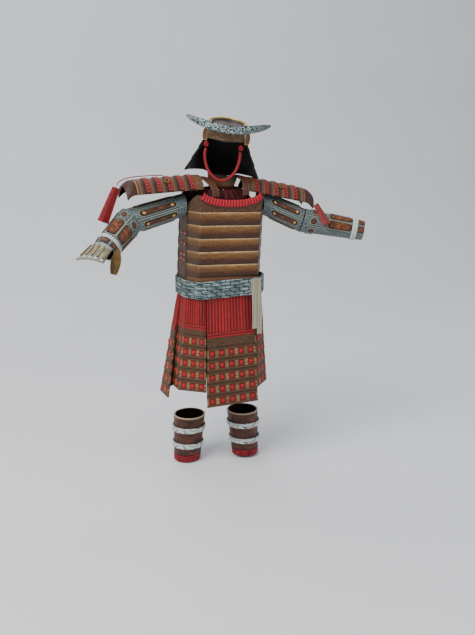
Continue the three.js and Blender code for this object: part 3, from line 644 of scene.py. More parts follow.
# Painted highlight: the lames are lighter in the middle of the front face.
middle_highlight = lacquer.rise(abs(plate_run - 1.5), 16.0, 3.0) * 0.5 + 0.5
lame_colour = lacquer.shade(lame_colour, middle_highlight, 0.86, 1.1)
YOKE_STOPS = [(0.3, tint(58, 38, 28)), (0.5, tint(94, 64, 45)), (0.7, tint(132, 98, 70))]
yoke_brown = lacquer.ramp(mottle, YOKE_STOPS)
yoke_share = lacquer.rise(plate_level, YOKE - 0.25, YOKE + 0.05)
lame_colour = lacquer.blend(yoke_share, lame_colour, yoke_brown)
rim_share = 1 - lacquer.rise(plate_level, LAME_LOWEST - 0.3, LAME_LOWEST)
rim_brown = lacquer.ramp(mottle, [(0.25, tint(88, 56, 34)), (0.7, tint(134, 92, 56))])
lame_colour = lacquer.blend(rim_share, lame_colour, rim_brown)
dull = lacquer.rise(abs(plate_run + 0.6), 20.4, 22.6)
grey_face = lacquer.blend(0.5, lame_colour, tint(82, 72, 60))
lame_colour = lacquer.blend(dull * 0.9, lame_colour, grey_face)
# Painted shade: darker towards the plate's side edges.
lame_colour = lacquer.shade(lame_colour, lacquer.rise(abs(plate_run), 32.2, 30.2), 0.45, 1.0)
lacquer.feed("Base Color", lame_colour)
lacquer.emboss(mottle + brush * 0.6, 0.07)


def lame_levels():
    """Rows close together in the grooves between lames, and the relief of each row."""
    levels = [PLATE_BOTTOM, PLATE_BOTTOM + 0.4, -65.0, -62.6, -61.7]
    relief = [0.0, 0.25, LAME_PROUD, 0.38, 0.1]
    for k in range(LAMES):
        for share in (0.0, 0.03, 0.09, 0.2, 0.35, 0.5, 0.65, 0.8, 0.9, 0.96, 0.985):
            levels.append(LAME_LOWEST + LAME_HEIGHT * (k + share))
            relief.append(0.02 + LAME_PROUD * math.sin(math.pi * share) ** 0.55)
    return np.array(levels), np.array(relief)


def body_plate(name, centre, neck_depth, neck_half, node):
    """Breast or back. centre is its share of the turn; the neck is cut out as half an ellipse."""
    creases = [-WAIST[0], WAIST[0]]
    across = np.unique(np.concatenate([np.linspace(-PLATE_EDGE, PLATE_EDGE, 77), creases]))
    levels, relief = lame_levels()
    yoke_shares = np.linspace(0, 1, 9)
    run = np.abs(across)
    past = np.clip((run - SHOULDER_FLAT_HALF) / (PLATE_EDGE - SHOULDER_FLAT_HALF), 0, 1)
    top = SHOULDER - SHOULDER_DROP * past ** 1.4
    neck = SHOULDER - neck_depth * np.sqrt(np.clip(1 - (run / neck_half) ** 2, 0, 1))
    top = np.minimum(top, neck)
    shares = across / TURN + centre
    rows = [on_box(shares, np.full_like(shares, z), WAIST) for z in levels]
    rows += [on_box(shares, YOKE + (top - YOKE) * f, WAIST) for f in yoke_shares]
    relief = np.concatenate([relief, np.full(len(yoke_shares), 0.1)])
    levels = np.concatenate([levels, YOKE + (SHOULDER - YOKE) * yoke_shares])
    plate = shell(name, leaned(np.array(rows)), flat_cut(across, levels), [lacquer, dark_back_shade],
                  outer=relief[:, None])
    fit_out(plate, "lame_card", node)
    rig.sheet(plate, flat=PLATE_FLAT, held="folded")


body_plate("breast_plate", centre=0.0, neck_depth=4.2, neck_half=19.0, node="cuirass_front")
body_plate("back_plate", centre=0.5, neck_depth=1.6, neck_half=15.0, node="cuirass_back")

# ---------------------------------------------------------------- side strips and their laces
# Under each arm a plain dark strip joins breast and back. Four pairs of short dark red laces with
# white knots are drawn through it, one above the other.
SIDES = {"right": -1, "left": 1}
STRIP_EDGE = PLATE_EDGE + 0.6
STRIP_TOP = -20.5
STRIP_FLAT = (0.0155, 0.0473)
LACE_LEVELS = (-33.2, -40.2, -47.6, -50.8)
LACE_RUNS = (-4.4, 1.6)
LACE_SIZE = (4.7, 2.0, 0.8)
LACE_KNOT_SIZE = (0.8, 0.7, 0.6)
dark_strip = Finish("dark_side_strip", roughness=0.6)
strip_run, strip_level = dark_strip.across_and_along()
strip_mottle = dark_strip.grain(dark_strip.spot(strip_run * 0.4, strip_level * 0.25), 1.5, 5.0, 0.65)
STRIP_STOPS = [(0.25, tint(44, 30, 22)), (0.5, tint(84, 61, 43)), (0.75, tint(120, 91, 62))]
strip_colour = dark_strip.ramp(strip_mottle, STRIP_STOPS)
# Painted shade: darker along both edges, next to the plates.
strip_colour = dark_strip.shade(strip_colour, dark_strip.rise(abs(strip_run), 7.4, 5.4), 0.4, 1.0)
dark_strip.feed("Base Color", strip_colour)
dark_strip.emboss(strip_mottle, 0.08)

red_lace = Finish("red_lace", roughness=0.65)
lace_grain = red_lace.grain(red_lace.on_object(), 1800.0, 3.0)
red_lace.feed("Base Color", red_lace.ramp(lace_grain, [(0.3, tint(146, 26, 34)), (0.7, tint(198, 50, 52))]))
red_lace.emboss(lace_grain, 0.08)
dark_lace = Finish("dark_red_lace", roughness=0.65)
dark_grain = dark_lace.grain(dark_lace.on_object(), 900.0, 3.0)
dark_lace.feed("Base Color", dark_lace.ramp(dark_grain, [(0.3, tint(92, 18, 26)), (0.7, tint(164, 42, 46))]))
dark_lace.emboss(dark_grain, 0.08)
white_lace = Finish("white_lace", roughness=0.75)
white_grain = white_lace.grain(white_lace.on_object(), 1500.0, 3.0)
white_lace.feed("Base Color", white_lace.blend(white_grain, tint(188, 178, 168), tint(226, 220, 210)))
white_lace.emboss(white_grain, 0.06)


def pads(name, places, size, finish, slot, rounding=1, crease=0.7):
    """Small rounded pads set on a surface. Each place is its point, the way across and the way out;
    the tree stands one pad on each, and its inputs are the pad's width, height and depth."""
    points, across, out = (np.array(part, float) for part in zip(*places))
    mesh = bpy.data.meshes.new(name)
    mesh.from_pydata((points * MM).tolist(), [], [])
    for key, vectors in (("across", across), ("out", out)):
        attribute = mesh.attributes.new(key, "FLOAT_VECTOR", "POINT")
        attribute.data.foreach_set("vector", vectors.astype(np.float32).ravel())
    piece = bpy.data.objects.new(name, mesh)
    bpy.context.collection.objects.link(piece)
    tree = bpy.data.node_groups.new(f"{name}_tree", "GeometryNodeTree")
    sockets = {"Geometry": "NodeSocketGeometry", "Width": "NodeSocketFloat", "Height": "NodeSocketFloat",
               "Depth": "NodeSocketFloat", "Rounding": "NodeSocketInt", "Material": "NodeSocketMaterial"}
    keys = {}
    for key, kind in sockets.items():
        keys[key] = tree.interface.new_socket(key, in_out="INPUT", socket_type=kind).identifier
    tree.interface.new_socket("Geometry", in_out="OUTPUT", socket_type="NodeSocketGeometry")

    def add(kind, settings, links):
        made = tree.nodes.new(kind)
        for key, setting in settings.items():
            setattr(made, key, setting)
        for key, socket in links.items():
            tree.links.new(socket, made.inputs[key])
        return made

    start = tree.nodes.new("NodeGroupInput")
    end = tree.nodes.new("NodeGroupOutput")
    box = add("ShaderNodeCombineXYZ", {}, {0: start.outputs["Width"], 1: start.outputs["Height"],
                                            2: start.outputs["Depth"]})
    cube = add("GeometryNodeMeshCube", {}, {"Size": box.outputs[0]})
    soft = add("GeometryNodeSubdivisionSurface", {},
               {"Mesh": cube.outputs["Mesh"], "Level": start.outputs["Rounding"]})
    soft.inputs["Edge Crease"].default_value = crease
    smooth = add("GeometryNodeSetShadeSmooth", {}, {"Geometry": soft.outputs[0]})
    ways = []
    for key in ("out", "across"):
        named = add("GeometryNodeInputNamedAttribute", {"data_type": "FLOAT_VECTOR"}, {})
        named.inputs["Name"].default_value = key
        ways.append(named.outputs[0])
    stand = add("FunctionNodeAlignRotationToVector", {"axis": "Z"}, {"Vector": ways[0]})
    face = add("FunctionNodeAlignRotationToVector", {"axis": "X", "pivot_axis": "Z"},
               {"Rotation": stand.outputs[0], "Vector": ways[1]})
    copies = add("GeometryNodeInstanceOnPoints", {},
                 {"Points": start.outputs["Geometry"], "Instance": smooth.outputs[0],
                  "Rotation": face.outputs[0]})
    real = add("GeometryNodeRealizeInstances", {}, {0: copies.outputs[0]})
    painted = add("GeometryNodeSetMaterial", {},
                  {"Geometry": real.outputs[0], "Material": start.outputs["Material"]})
    tree.links.new(painted.outputs[0], end.inputs[0])
    modifier = piece.modifiers.new("pads", "NODES")
    modifier.node_group = tree
    width, height, depth = size
    values = {"Width": width * MM, "Height": height * MM, "Depth": depth * MM, "Rounding": rounding,
              "Material": finish.material}
    for key, value in values.items():
        modifier[keys[key]] = value
    bpy.context.view_layer.update()
    result = bpy.data.meshes.new_from_object(piece.evaluated_get(bpy.context.evaluated_depsgraph_get()))
    piece.modifiers.clear()
    piece.data = result
    fit_out(piece, slot)


def frame_at(surface, u, v, du=0.01, dv=0.01):
    """A point of a surface with its way across and its way out."""
    point = surface(u, v)
    across = surface(u + du, v) - surface(u - du, v)
    along = surface(u, v + dv) - surface(u, v - dv)
    out = np.cross(across, along)
    return point, across / np.linalg.norm(across), out / np.linalg.norm(out)


def side_point(run, z):
    """A point of the leaning trunk at a run from the front centre and a height."""
    return leaned(on_box(np.array([run / TURN]), np.array([z]), WAIST))[0]


for side, sign in SIDES.items():
    across = np.sort(sign * np.linspace(STRIP_EDGE, HALF_TURN - STRIP_EDGE, 15))
    levels = np.linspace(PLATE_BOTTOM, STRIP_TOP, 26)
    grid = leaned(np.array([on_box(across / TURN, np.full_like(across, z), WAIST) for z in levels]))
    middle = sign * HALF_TURN / 2
    strip = shell(f"side_strip_{side}", grid, flat_cut(across - middle, levels), [dark_strip, dark_back_shade],
                  outer=0.12 * np.sin(np.linspace(0, math.pi, 15))[None, :])
    fit_out(strip, "dark_card", f"cuirass_side_{side}")
    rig.sheet(strip, flat=STRIP_FLAT, held="folded")
    laces, knots = [], []
    for level in LACE_LEVELS:
        for run in LACE_RUNS:
            point, way, out = frame_at(side_point, middle + sign * run, level, 0.2, 0.2)
            laces.append((point + out * 0.25, way + np.array((0, 0, 0.12)), out))
            knots.append((point + out * 0.6 - way * 1.6 * sign, way, out))
    pads(f"side_laces_{side}", laces, LACE_SIZE, dark_lace, "lacing_card")
    pads(f"side_lace_knots_{side}", knots, LACE_KNOT_SIZE, white_lace, "tie_card")

# ---------------------------------------------------------------- neck ring and inner collar
# A fluted ring of red cloth lies on the breast plate round the neck. Inside it a dark red pleated
# collar slopes up from the plates to the neck.
RING_HALF_WIDTH, RING_DROP = 20.6, 5.8
RING_TOP = -6.0
RING_BAND = 4.8
FLUTE = 2.1
red_cloth = Finish("fluted_red_cloth", roughness=0.75)
ring_run, ring_across = red_cloth.across_and_along()
flute = abs((ring_run / FLUTE).fraction() - 0.5) * 2
ring_noise = red_cloth.grain(red_cloth.spot(ring_run * 0.5, ring_across * 0.2), 1.4, 4.0)
# The ramp paints a pale pink highlight and dark red shade across each flute.
ring_red = red_cloth.ramp(flute, [
    (0.0, tint(204, 84, 92)), (0.22, tint(188, 52, 64)), (0.8, tint(162, 34, 46)), (1.0, tint(112, 20, 32)),
])
ring_red = red_cloth.shade(ring_red, ring_noise, 0.5, 1.4)
ring_red = red_cloth.shade(ring_red, red_cloth.rise(abs(ring_across), 2.38, 2.15), 0.35, 1.0)
red_cloth.feed("Base Color", ring_red)
red_cloth.emboss(flute + ring_noise * 0.5, 0.15)

ring_shares = np.linspace(-0.5, 0.5, 7)
ring_angle = (np.linspace(0, 1, 221) - 0.5) * math.pi * 1.02
ring_x = RING_HALF_WIDTH * np.sin(ring_angle)
ring_z = RING_TOP - RING_DROP * np.cos(ring_angle)
ring_slope = np.arctan2(RING_DROP * ring_x, RING_HALF_WIDTH ** 2 * 0.62)
ring_rows = []
for share in ring_shares:
    reach = share * RING_BAND
    run = ring_x - reach * np.sin(ring_slope)
    ring_rows.append(on_box(run / TURN, ring_z + reach * np.cos(ring_slope), WAIST))
ring_length = np.concatenate([[0], np.cumsum(np.hypot(np.diff(ring_x), np.diff(ring_z)))])
flutes = 0.26 * np.abs(np.cos(ring_length / FLUTE * math.pi))
crown = 1 - (2 * ring_shares) ** 4
neck_ring = shell("neck_ring", leaned(np.array(ring_rows)), flat_cut(ring_length, ring_shares * RING_BAND),
                  [red_cloth], outer=1.6 + crown[:, None] * flutes[None, :] - 0.4 * (1 - crown[:, None]),
                  inner=0.8)
fit_out(neck_ring, "collar_card", "collar_ring")

COLLAR_PLEATS = 22
PLEAT = 4.6
NECK_RADIUS, NECK_BACK, NECK_HEIGHT = 11.2, -3, -3.2
dark_cloth = Finish("dark_red_collar", roughness=0.8)
collar_run, collar_down = dark_cloth.across_and_along()
pleat = abs((collar_run / PLEAT).fraction() - 0.5) * 2
collar_noise = dark_cloth.grain(dark_cloth.spot(collar_run * 1.2, collar_down * 0.12), 1.2, 5.0, 0.6)
# Painted shade in the hollows of the pleats, and lighter tone on their ridges.
COLLAR_STOPS = [(0.0, tint(50, 14, 22)), (0.6, tint(88, 24, 34)), (1.0, tint(110, 34, 46))]
collar_red = dark_cloth.ramp(pleat, COLLAR_STOPS)
dark_cloth.feed("Base Color", dark_cloth.shade(collar_red, collar_noise, 0.45, 1.35))
dark_cloth.emboss(collar_noise, 0.12)

collar_turn = np.arange(180) / 180
collar_x, collar_y = np.cos(-collar_turn * 2 * math.pi), np.sin(-collar_turn * 2 * math.pi)
neck_edge = np.stack([NECK_RADIUS * collar_x, NECK_BACK + NECK_RADIUS * collar_y,
                      np.full(180, NECK_HEIGHT)], axis=-1)
plate_height = -6.2 - 4.0 * np.maximum(0, -collar_y)
plate_edge = leaned(np.stack([17.6 * collar_x, 15.2 * collar_y, plate_height], axis=-1))
collar_rows = np.array([neck_edge + (plate_edge - neck_edge) * f for f in np.linspace(0, 1, 7)])
pleats = np.cos(collar_turn * 2 * math.pi * COLLAR_PLEATS)[None, :] * np.linspace(0.5, 1, 7)[:, None] * 0.28
collar_cut = flat_cut(np.arange(181) / 180 * COLLAR_PLEATS * PLEAT, np.linspace(0, 8, 7))
inner_collar = shell("inner_collar_cloth", collar_rows, collar_cut, [dark_cloth],
                     outer=pleats + 0.4, inner=pleats - 0.4, wrap=True)
fit_out(inner_collar, "inner_collar_card", "inner_collar")
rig.sheet(inner_collar, flat=(0.101, 0.0101), area=0.00075, held="gathered",
         rests_on=["breast_plate", "back_plate"])

# ---------------------------------------------------------------- shoulder straps
# A strap of brown card with pale gilt edges and a red lace down its middle runs from the breast
# plate over each shoulder to the back plate, and carries the suit.
STRAP_HALF = 2.3
STRAP_SET_OUT = 12.6
# y and height of the strap's middle line, from the breast over the shoulder to the back
STRAP_LINE = [
    (-18.3, -6.8), (-17.4, -2.8), (-13.6, 1.4), (-6.5, 3.4), (2.0, 3.6), (10.5, 2.8), (17.0, -1.6),
    (19.2, -7.6), (19.2, -12.0),
]
strap_card = Finish("laced_strap", roughness=0.6)
strap_across, strap_along = strap_card.across_and_along()
strap_grain = strap_card.grain(strap_card.spot(strap_across, strap_along), 1.1, 4.0)
strap_brown = strap_card.ramp(strap_grain, [(0.3, tint(48, 34, 27)), (0.7, tint(98, 71, 50))])
strap_edge = strap_card.band(abs(strap_across), 1.6, 2.0, 0.12)
strap_brown = strap_card.blend(strap_edge * 0.6, strap_brown, tint(134, 106, 74))
strap_middle = strap_card.band(abs(strap_across), -0.6, 0.55, 0.2)
strap_red = strap_middle * strap_card.band((strap_along / 2.1).fraction(), 0.25, 0.7, 0.12)
strap_brown = strap_card.blend(strap_red * 0.85, strap_brown, tint(146, 38, 36))
strap_card.feed("Base Color", strap_brown)
strap_card.emboss(strap_edge + strap_red + strap_grain * 0.3, 0.15)

strap_line = smooth_line([(0, y, z) for y, z in STRAP_LINE], 8)
strap_length = np.concatenate([[0], np.cumsum(np.linalg.norm(np.diff(strap_line, axis=0), axis=1))])
for side, sign in SIDES.items():
    width = np.linspace(-STRAP_HALF, STRAP_HALF, 9)
    drawn_in = 0.3 * np.maximum(0, -12 - strap_line[:, 1])
    middles = sign * (STRAP_SET_OUT - drawn_in) + 1
    grid = np.array([[(middle + w, y, z) for w in width] for middle, (_, y, z) in zip(middles, strap_line)])
    bulge = 0.5 + 0.12 * np.cos(width / STRAP_HALF * math.pi / 2)
    strap = shell(f"strap_{side}", grid, flat_cut(width, strap_length), [strap_card, dark_back_shade],
                  outer=bulge[None, :], inner=-0.5)
    fit_out(strap, "dark_card", f"shoulder_strap_{side}")

# ---------------------------------------------------------------- sash
# A long strip of grey-blue plaited cloth is wound five times round the waist over the foot of the
# breast plate. Its two narrow pale ends hang down at the wearer's left.
WRAP = 2.36
LINK = TURN / 24
SASH_FOOT, SASH_TOP = -74.6, -62.8
plait = Finish("grey_blue_plait", roughness=0.75)
sash_run, sash_level = plait.across_and_along()
sash_noise = plait.grain(plait.spot(sash_run * 0.35, sash_level * 0.9), 1.0, 4.0, 0.6)
row = (sash_level / WRAP).floor()
place = sash_run / LINK + row * 0.5 + (sash_level / WRAP).fraction() * 0.16
link = plait.chance(plait.spot(place.floor(), row))
to_edge = abs((sash_level / WRAP).fraction() - 0.5) * 2
to_end = abs(place.fraction() - 0.5) * 2
link_edge = plait.rise(to_edge ** 3 + to_end ** 5 + sash_noise * 0.5, 0.7, 1.15)
streak = plait.grain(plait.spot(sash_run * 0.1, sash_level * 0.8), 1.6, 3.0, 0.6)
sash_grey = plait.ramp(streak, [
    (0.3, tint(48, 66, 72)), (0.42, tint(86, 110, 116)), (0.54, tint(132, 148, 148)),
    (0.68, tint(204, 212, 204)),
])
sash_grey = plait.shade(sash_grey, link, 0.6, 1.2)
sash_grey = plait.blend(link_edge * 0.9, sash_grey, tint(24, 30, 34))
plait.feed("Base Color", plait.shade(sash_grey, sash_noise, 0.8, 1.15))
plait.emboss(1 - link_edge + streak * 0.6, 0.18)

creases = (WAIST[0], PLATE_EDGE, HALF_TURN - PLATE_EDGE, HALF_TURN - WAIST[0])
sash_shares = np.unique(np.round(np.concatenate([
    np.linspace(-0.5, 0.5, 137)[:-1],
    [sign * run / TURN for sign in (-1, 1) for run in creases],
]), 5))
sash_levels = np.linspace(SASH_FOOT, SASH_TOP, 41)
rolls = np.abs(np.sin((sash_levels - SASH_FOOT) / WRAP * math.pi)) ** 0.35
sash_grid = np.array([on_box(sash_shares, np.full_like(sash_shares, z), WAIST) for z in sash_levels])
sash = shell("sash_wraps", sash_grid, flat_cut(np.append(sash_shares, 0.5) * TURN, sash_levels), [plait],
             outer=2.3 + 0.32 * rolls[:, None], inner=1.55, wrap=True)
fit_out(sash, "sash_card", "sash_band")

SKIRT_TOP, SKIRT_FOOT = -70.2, -150
HEM_BOX = (18.6, 34.0, 22.5, 14.0)
HEM_TURN = 2 * box_run(*HEM_BOX)[2][-1]


def skirt_box(z, swing=0.0):
    """The eight-sided section of the skirt at a height, pushed out by swing at its foot."""
    fall = max(0.0, (SKIRT_TOP - z) / (SKIRT_TOP - SKIRT_FOOT))
    waist, hem = np.array(WAIST), np.array(HEM_BOX)
    face, half_width, half_depth, slant = waist + (hem - waist) * fall
    return face, half_width + swing * fall, half_depth + swing * fall, slant


TAIL_WIDTH = 3.1
TAIL_PLEAT = 1.05
TAIL_LIFT = 3.05
# where each end starts across the waist, and the height of its tip
TAILS = {"inner": (15.0, -98.0), "outer": (18.5, -102.0)}
pale_cloth = Finish("pale_sash_end", roughness=0.8)
end_across, end_along = pale_cloth.across_and_along()
end_noise = pale_cloth.grain(pale_cloth.spot(end_across * 2.0, end_along * 0.1), 1.5, 3.0)
end_fold = abs((end_across / TAIL_PLEAT + 0.5).fraction() - 0.5) * 2
# Painted shade: darker in the valleys of the folds, paler on their ridges.
end_colour = pale_cloth.ramp(end_fold, [
    (0.0, tint(96, 88, 72)), (0.3, tint(160, 152, 132)), (1.0, tint(206, 200, 184)),
])
pale_cloth.feed("Base Color", pale_cloth.shade(end_colour, end_noise, 0.7, 1.2))
pale_cloth.emboss(end_fold, 0.15)
for name, (start, tip) in TAILS.items():
    levels = np.linspace(tip, SASH_TOP - 0.4, 36)
    width = np.linspace(0, TAIL_WIDTH, 10)
    drift = 0.25 * np.sin((levels + 98) * 0.11)
    grid = np.array([[(start + w + d, -skirt_box(z)[2], z) for w in width] for z, d in zip(levels, drift)])
    folds = 0.16 * np.cos(width / TAIL_PLEAT * 2 * math.pi)
    end = shell(f"sash_tail_{name}", grid, flat_cut(width - TAIL_WIDTH / 2, levels), [pale_cloth],
                outer=TAIL_LIFT + 0.75 + folds[None, :], inner=TAIL_LIFT)
    fit_out(end, "tie_card", f"sash_end_{name}")
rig.sheet(sash, flat=(0.175, 0.0118), held="folded", rests_on=["breast_plate", "back_plate"],
         with_pieces=["sash_tail_inner", "sash_tail_outer"])

# ---------------------------------------------------------------- hanging skirt of seven tassets
# Seven tassets hang from the waist. Red cords run down each to a double red lace, over one plain
# lame and five lames with a row of red leather squares. Their tops are glued behind the sash.
SQUARE_ROWS = 5
LACE_DEPTH = 3.4
LAME_STEP = 0.42
SQUARE_SIZE = (3.0, 3.0, 0.7)
tasset_card = Finish("laced_tasset", roughness=0.6)
column, level = tasset_card.across_and_along()
fine = tasset_card.grain(tasset_card.spot(column * 0.7, level * 6.0), 1.5, 4.0, 0.6)
speck = tasset_card.grain(tasset_card.spot(column * 3.0, level * 3.0), 2.2, 4.0, 0.6)
in_row = level.fraction()
cell = abs(column.fraction() - 0.5)
lame_brown = tasset_card.ramp(in_row, [
    (0.0, tint(72, 54, 39)), (0.06, tint(98, 74, 52)), (0.18, tint(106, 80, 56)), (0.42, tint(112, 86, 60)),
    (0.68, tint(118, 91, 64)), (0.75, tint(102, 76, 53)), (0.88, tint(94, 70, 49)), (0.95, tint(78, 58, 42)),
    (1.0, tint(50, 38, 28)),
])
gap_cell = tasset_card.rise(cell, 0.30, 0.36) * tasset_card.band(in_row, 0.2, 0.72, 0.05)
cell_pale = tasset_card.chance(tasset_card.spot((column + 0.5).floor(), level.floor()))
lame_brown = tasset_card.blend(gap_cell * (cell_pale * 0.55 + 0.1) * tasset_card.rise(fine, 0.4, 0.56),
                               lame_brown, tint(172, 148, 112))
outline = tasset_card.rise(cell, 0.345, 0.30) * tasset_card.band(in_row, 0.17, 0.77, 0.03)
lame_brown = tasset_card.blend(outline * 0.85, lame_brown, tint(106, 24, 24))
lines = abs((level * 5.0).fraction() - 0.5) * 2
plain_brown = tasset_card.ramp(fine, [
    (0.25, tint(66, 50, 36)), (0.5, tint(98, 72, 50)), (0.8, tint(128, 98, 68)),
])
plain_brown = tasset_card.shade(plain_brown, lines, 0.72, 1.08)
lace_line = abs((level - 6.0) * 4.0 - 1.0)
double_lace = tasset_card.ramp(lace_line, [
    (0.0, tint(60, 18, 16)), (0.16, tint(108, 24, 28)), (0.4, tint(176, 42, 46)), (0.75, tint(162, 38, 42)),
    (1.0, tint(66, 34, 26)),
])
cord = abs((column * 3.0).fraction() - 0.5) * 2
cord_index = (column * 3.0).floor()
cord_tone = tasset_card.chance(tasset_card.spot(cord_index, 3.0))
cord_red = tasset_card.ramp(cord, [
    (0.0, tint(76, 16, 24)), (0.3, tint(132, 28, 36)), (0.7, tint(172, 40, 42)), (1.0, tint(188, 62, 54)),
])
cord_red = tasset_card.shade(cord_red, cord_tone, 0.6, 1.16)
cord_fuzz = tasset_card.grain(tasset_card.spot(column * 5.0, level * 0.8), 2.0, 3.0)
cord_red = tasset_card.shade(cord_red, cord_fuzz, 0.7, 1.25)
tasset_colour = tasset_card.blend(tasset_card.rise(level, 4.97, 5.03), lame_brown, plain_brown)
tasset_colour = tasset_card.blend(tasset_card.rise(level, 5.96, 6.02), tasset_colour, double_lace)
tasset_colour = tasset_card.blend(tasset_card.rise(level, 6.5, 6.56), tasset_colour, cord_red)
tasset_colour = tasset_card.shade(tasset_colour, fine, 0.5, 1.46)
tasset_colour = tasset_card.shade(tasset_colour, speck, 0.7, 1.3)
tasset_card.feed("Base Color", tasset_colour)
tasset_card.emboss(speck + fine, 0.05)

# name, top run, hem run, hem height, swing, squares across, row height, plain lame, flat size
TASSETS = [
    ("centre", (-16.4, 16.4), (-18.4, 18.4), -150.3, 0.9, 5, 8.35, 6.4, (0.0352, 0.0805)),
    ("front_right", (-43.0, -17.1), (-50.5, -19.0), -139.3, 2.0, 5, 7.9, 3.8, (0.0305, 0.0695)),
    ("front_left", (17.1, 43.4), (19.6, 53.0), -141.5, -0.8, 5, 7.9, 3.8, (0.0315, 0.0715)),
    ("side_right", (-62.4, -45.0), (-71.0, -46.5), -147.0, 6.6, 4, 8.3, 5.0, (0.0225, 0.0775)),
    ("side_left", (44.5, 62.4), (54.4, 77.0), -145.0, 0.9, 4, 8.3, 5.0, (0.0205, 0.0753)),
    ("back_right", (-80.5, -62.9), (-95.0, -74.0), -145.0, 0.0, 4, 8.3, 5.0, (0.0195, 0.0752)),
    ("back_left", (62.9, 80.5), (78.2, 95.0), -146.0, 0.0, 4, 8.3, 5.0, (0.0175, 0.0762)),
]
for name, top, low, hem, swing, squares, row_height, plain, flat in TASSETS:
    squares_top = hem + SQUARE_ROWS * row_height
    lace_foot = squares_top + plain
    cord_foot = lace_foot + LACE_DEPTH
    marks_z = [hem, squares_top, lace_foot, cord_foot, SKIRT_TOP]
    marks_v = [0, 5, 6, 6.5, 6.5 + (SKIRT_TOP - cord_foot) / row_height]

    def surface(u, z):
        """A point of the tasset at a share of its width and a height."""
        fall = (SKIRT_TOP - z) / (SKIRT_TOP - SKIRT_FOOT)
        from_share = top[0] / TURN + (low[0] / HEM_TURN - top[0] / TURN) * fall
        to_share = top[1] / TURN + (low[1] / HEM_TURN - top[1] / TURN) * fall
        u = np.asarray(u, float)
        return on_box(from_share + (to_share - from_share) * u, np.full_like(u, z), skirt_box(z, swing))

    shares = np.linspace(0, 1, squares * 15 + 1)
    square_v = [k + f for k in range(SQUARE_ROWS) for f in (0.0, 0.04, 0.12, 0.3, 0.5, 0.7, 0.88, 0.97)]
    plain_v = [5.0, 5.05, 5.4, 5.8, 5.97]
    lace_v = [6.03, 6.12, 6.22, 6.25, 6.28, 6.38, 6.48]
    cord_v = [6.54, 6.6, *np.linspace(6.8, marks_v[-1], 9)]
    rows_v = np.array(square_v + plain_v + lace_v + cord_v)
    rows_z = np.interp(rows_v, marks_v, marks_z)
    laces = 0.3 + 0.3 * np.abs(np.sin((rows_v - 6) * 4 * math.pi))
    step = np.where(rows_v < 5, LAME_STEP * (1 - rows_v % 1) ** 0.7, 0.0)
    step = np.where((rows_v > 5) & (rows_v < 6), 0.3, step)
    step = np.where((rows_v > 6) & (rows_v < 6.5), laces, step)
    flutes = 0.16 + 0.28 * np.abs(np.cos((shares * squares * 3 - 0.5) * math.pi))
    outer = np.where((rows_v > 6.52)[:, None], flutes[None, :], step[:, None])
    grid = np.array([surface(shares, z) for z in rows_z])
    tasset = shell(f"tasset_card_{name}", grid, flat_cut(shares * squares, rows_v),
                   [tasset_card, dark_back_shade], outer=outer)
    fit_out(tasset, "dark_card", f"tasset_{name}")
    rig.sheet(tasset, flat=flat, held="hung")
    squares_at = []
    for j in range(SQUARE_ROWS):
        for i in range(squares):
            z = hem + (j + 0.46) * row_height
            point = surface((i + 0.5) / squares, z)
            across = surface((i + 0.52) / squares, z) - surface((i + 0.48) / squares, z)
            up = surface((i + 0.5) / squares, z + 0.3) - point
            out = np.cross(across, up)
            out /= np.linalg.norm(out)
            squares_at.append((point + out * 0.35, across / np.linalg.norm(across), out))
    pads(f"tasset_squares_{name}", squares_at, SQUARE_SIZE, red_lace, "lacing_card", crease=0.92)

# ---------------------------------------------------------------- mail sleeves
# Each arm is two tapered tubes of grey mail, mitred at the elbow. Long brown splints lie along
# the upper arm, round plates cover the elbow, and broad brown panels the forearm to the wrist tie.
def limb(start, end, radii, start_cut, end_cut):
    """A tapered tube from start to end whose ends are cut square to the two directions given."""
    start, end = np.array(start, float), np.array(end, float)
    axis = (end - start) / np.linalg.norm(end - start)
    first = np.array((0, 0, 1.0)) - axis * axis[2]
    first /= np.linalg.norm(first)
    second = np.cross(axis, first)

    def surface(u, v):
        u, v = np.broadcast_arrays(np.asarray(u, float), np.asarray(v, float))
        angle = u[..., None] * 2 * math.pi
        out = np.cos(angle) * first + np.sin(angle) * second
        radius = radii[0] + (radii[1] - radii[0]) * v
        slide = -(1 - v) * (out @ start_cut) / (axis @ start_cut) - v * (out @ end_cut) / (axis @ end_cut)
        middle = start + (end - start) * v[..., None]
        return middle + out * radius[..., None] + axis * (radius * slide)[..., None]

    return surface


mail = Finish("grey_mail", roughness=0.55, specular=0.45)
mail_turn, mail_along = mail.across_and_along()
rings = mail.grain(mail.spot(mail_turn * 7.0, mail_along), 1.25, 5.0, 0.65)
cloudy = mail.grain(mail.spot(mail_turn * 2.6, mail_along * 0.3), 0.7, 3.0)
link_wave = (mail_along * 5.2 + (mail_turn * 44.0).sine() * 1.4).sine() * 0.5 + 0.5
mail_grey = mail.ramp(rings * 0.75 + link_wave * 0.25, [
    (0.32, tint(28, 32, 34)), (0.43, tint(62, 74, 77)), (0.54, tint(100, 116, 119)),
    (0.7, tint(184, 196, 194)),
])
mail_grey = mail.shade(mail_grey, cloudy, 0.4, 1.5)
seam_line = abs(mail_turn.fraction() - 0.5)
mail_grey = mail.blend(mail.rise(seam_line, 0.12, 0.08), mail_grey, tint(52, 56, 54))
mail_grey = mail.blend(mail.rise(seam_line, 0.045, 0.03), mail_grey, tint(158, 166, 156))
mail.feed("Base Color", mail_grey)
mail.emboss(rings + link_wave * 0.5, 0.16)


BROWN_TONES = [(0.3, tint(56, 33, 20)), (0.5, tint(110, 64, 29)), (0.7, tint(166, 110, 47))]


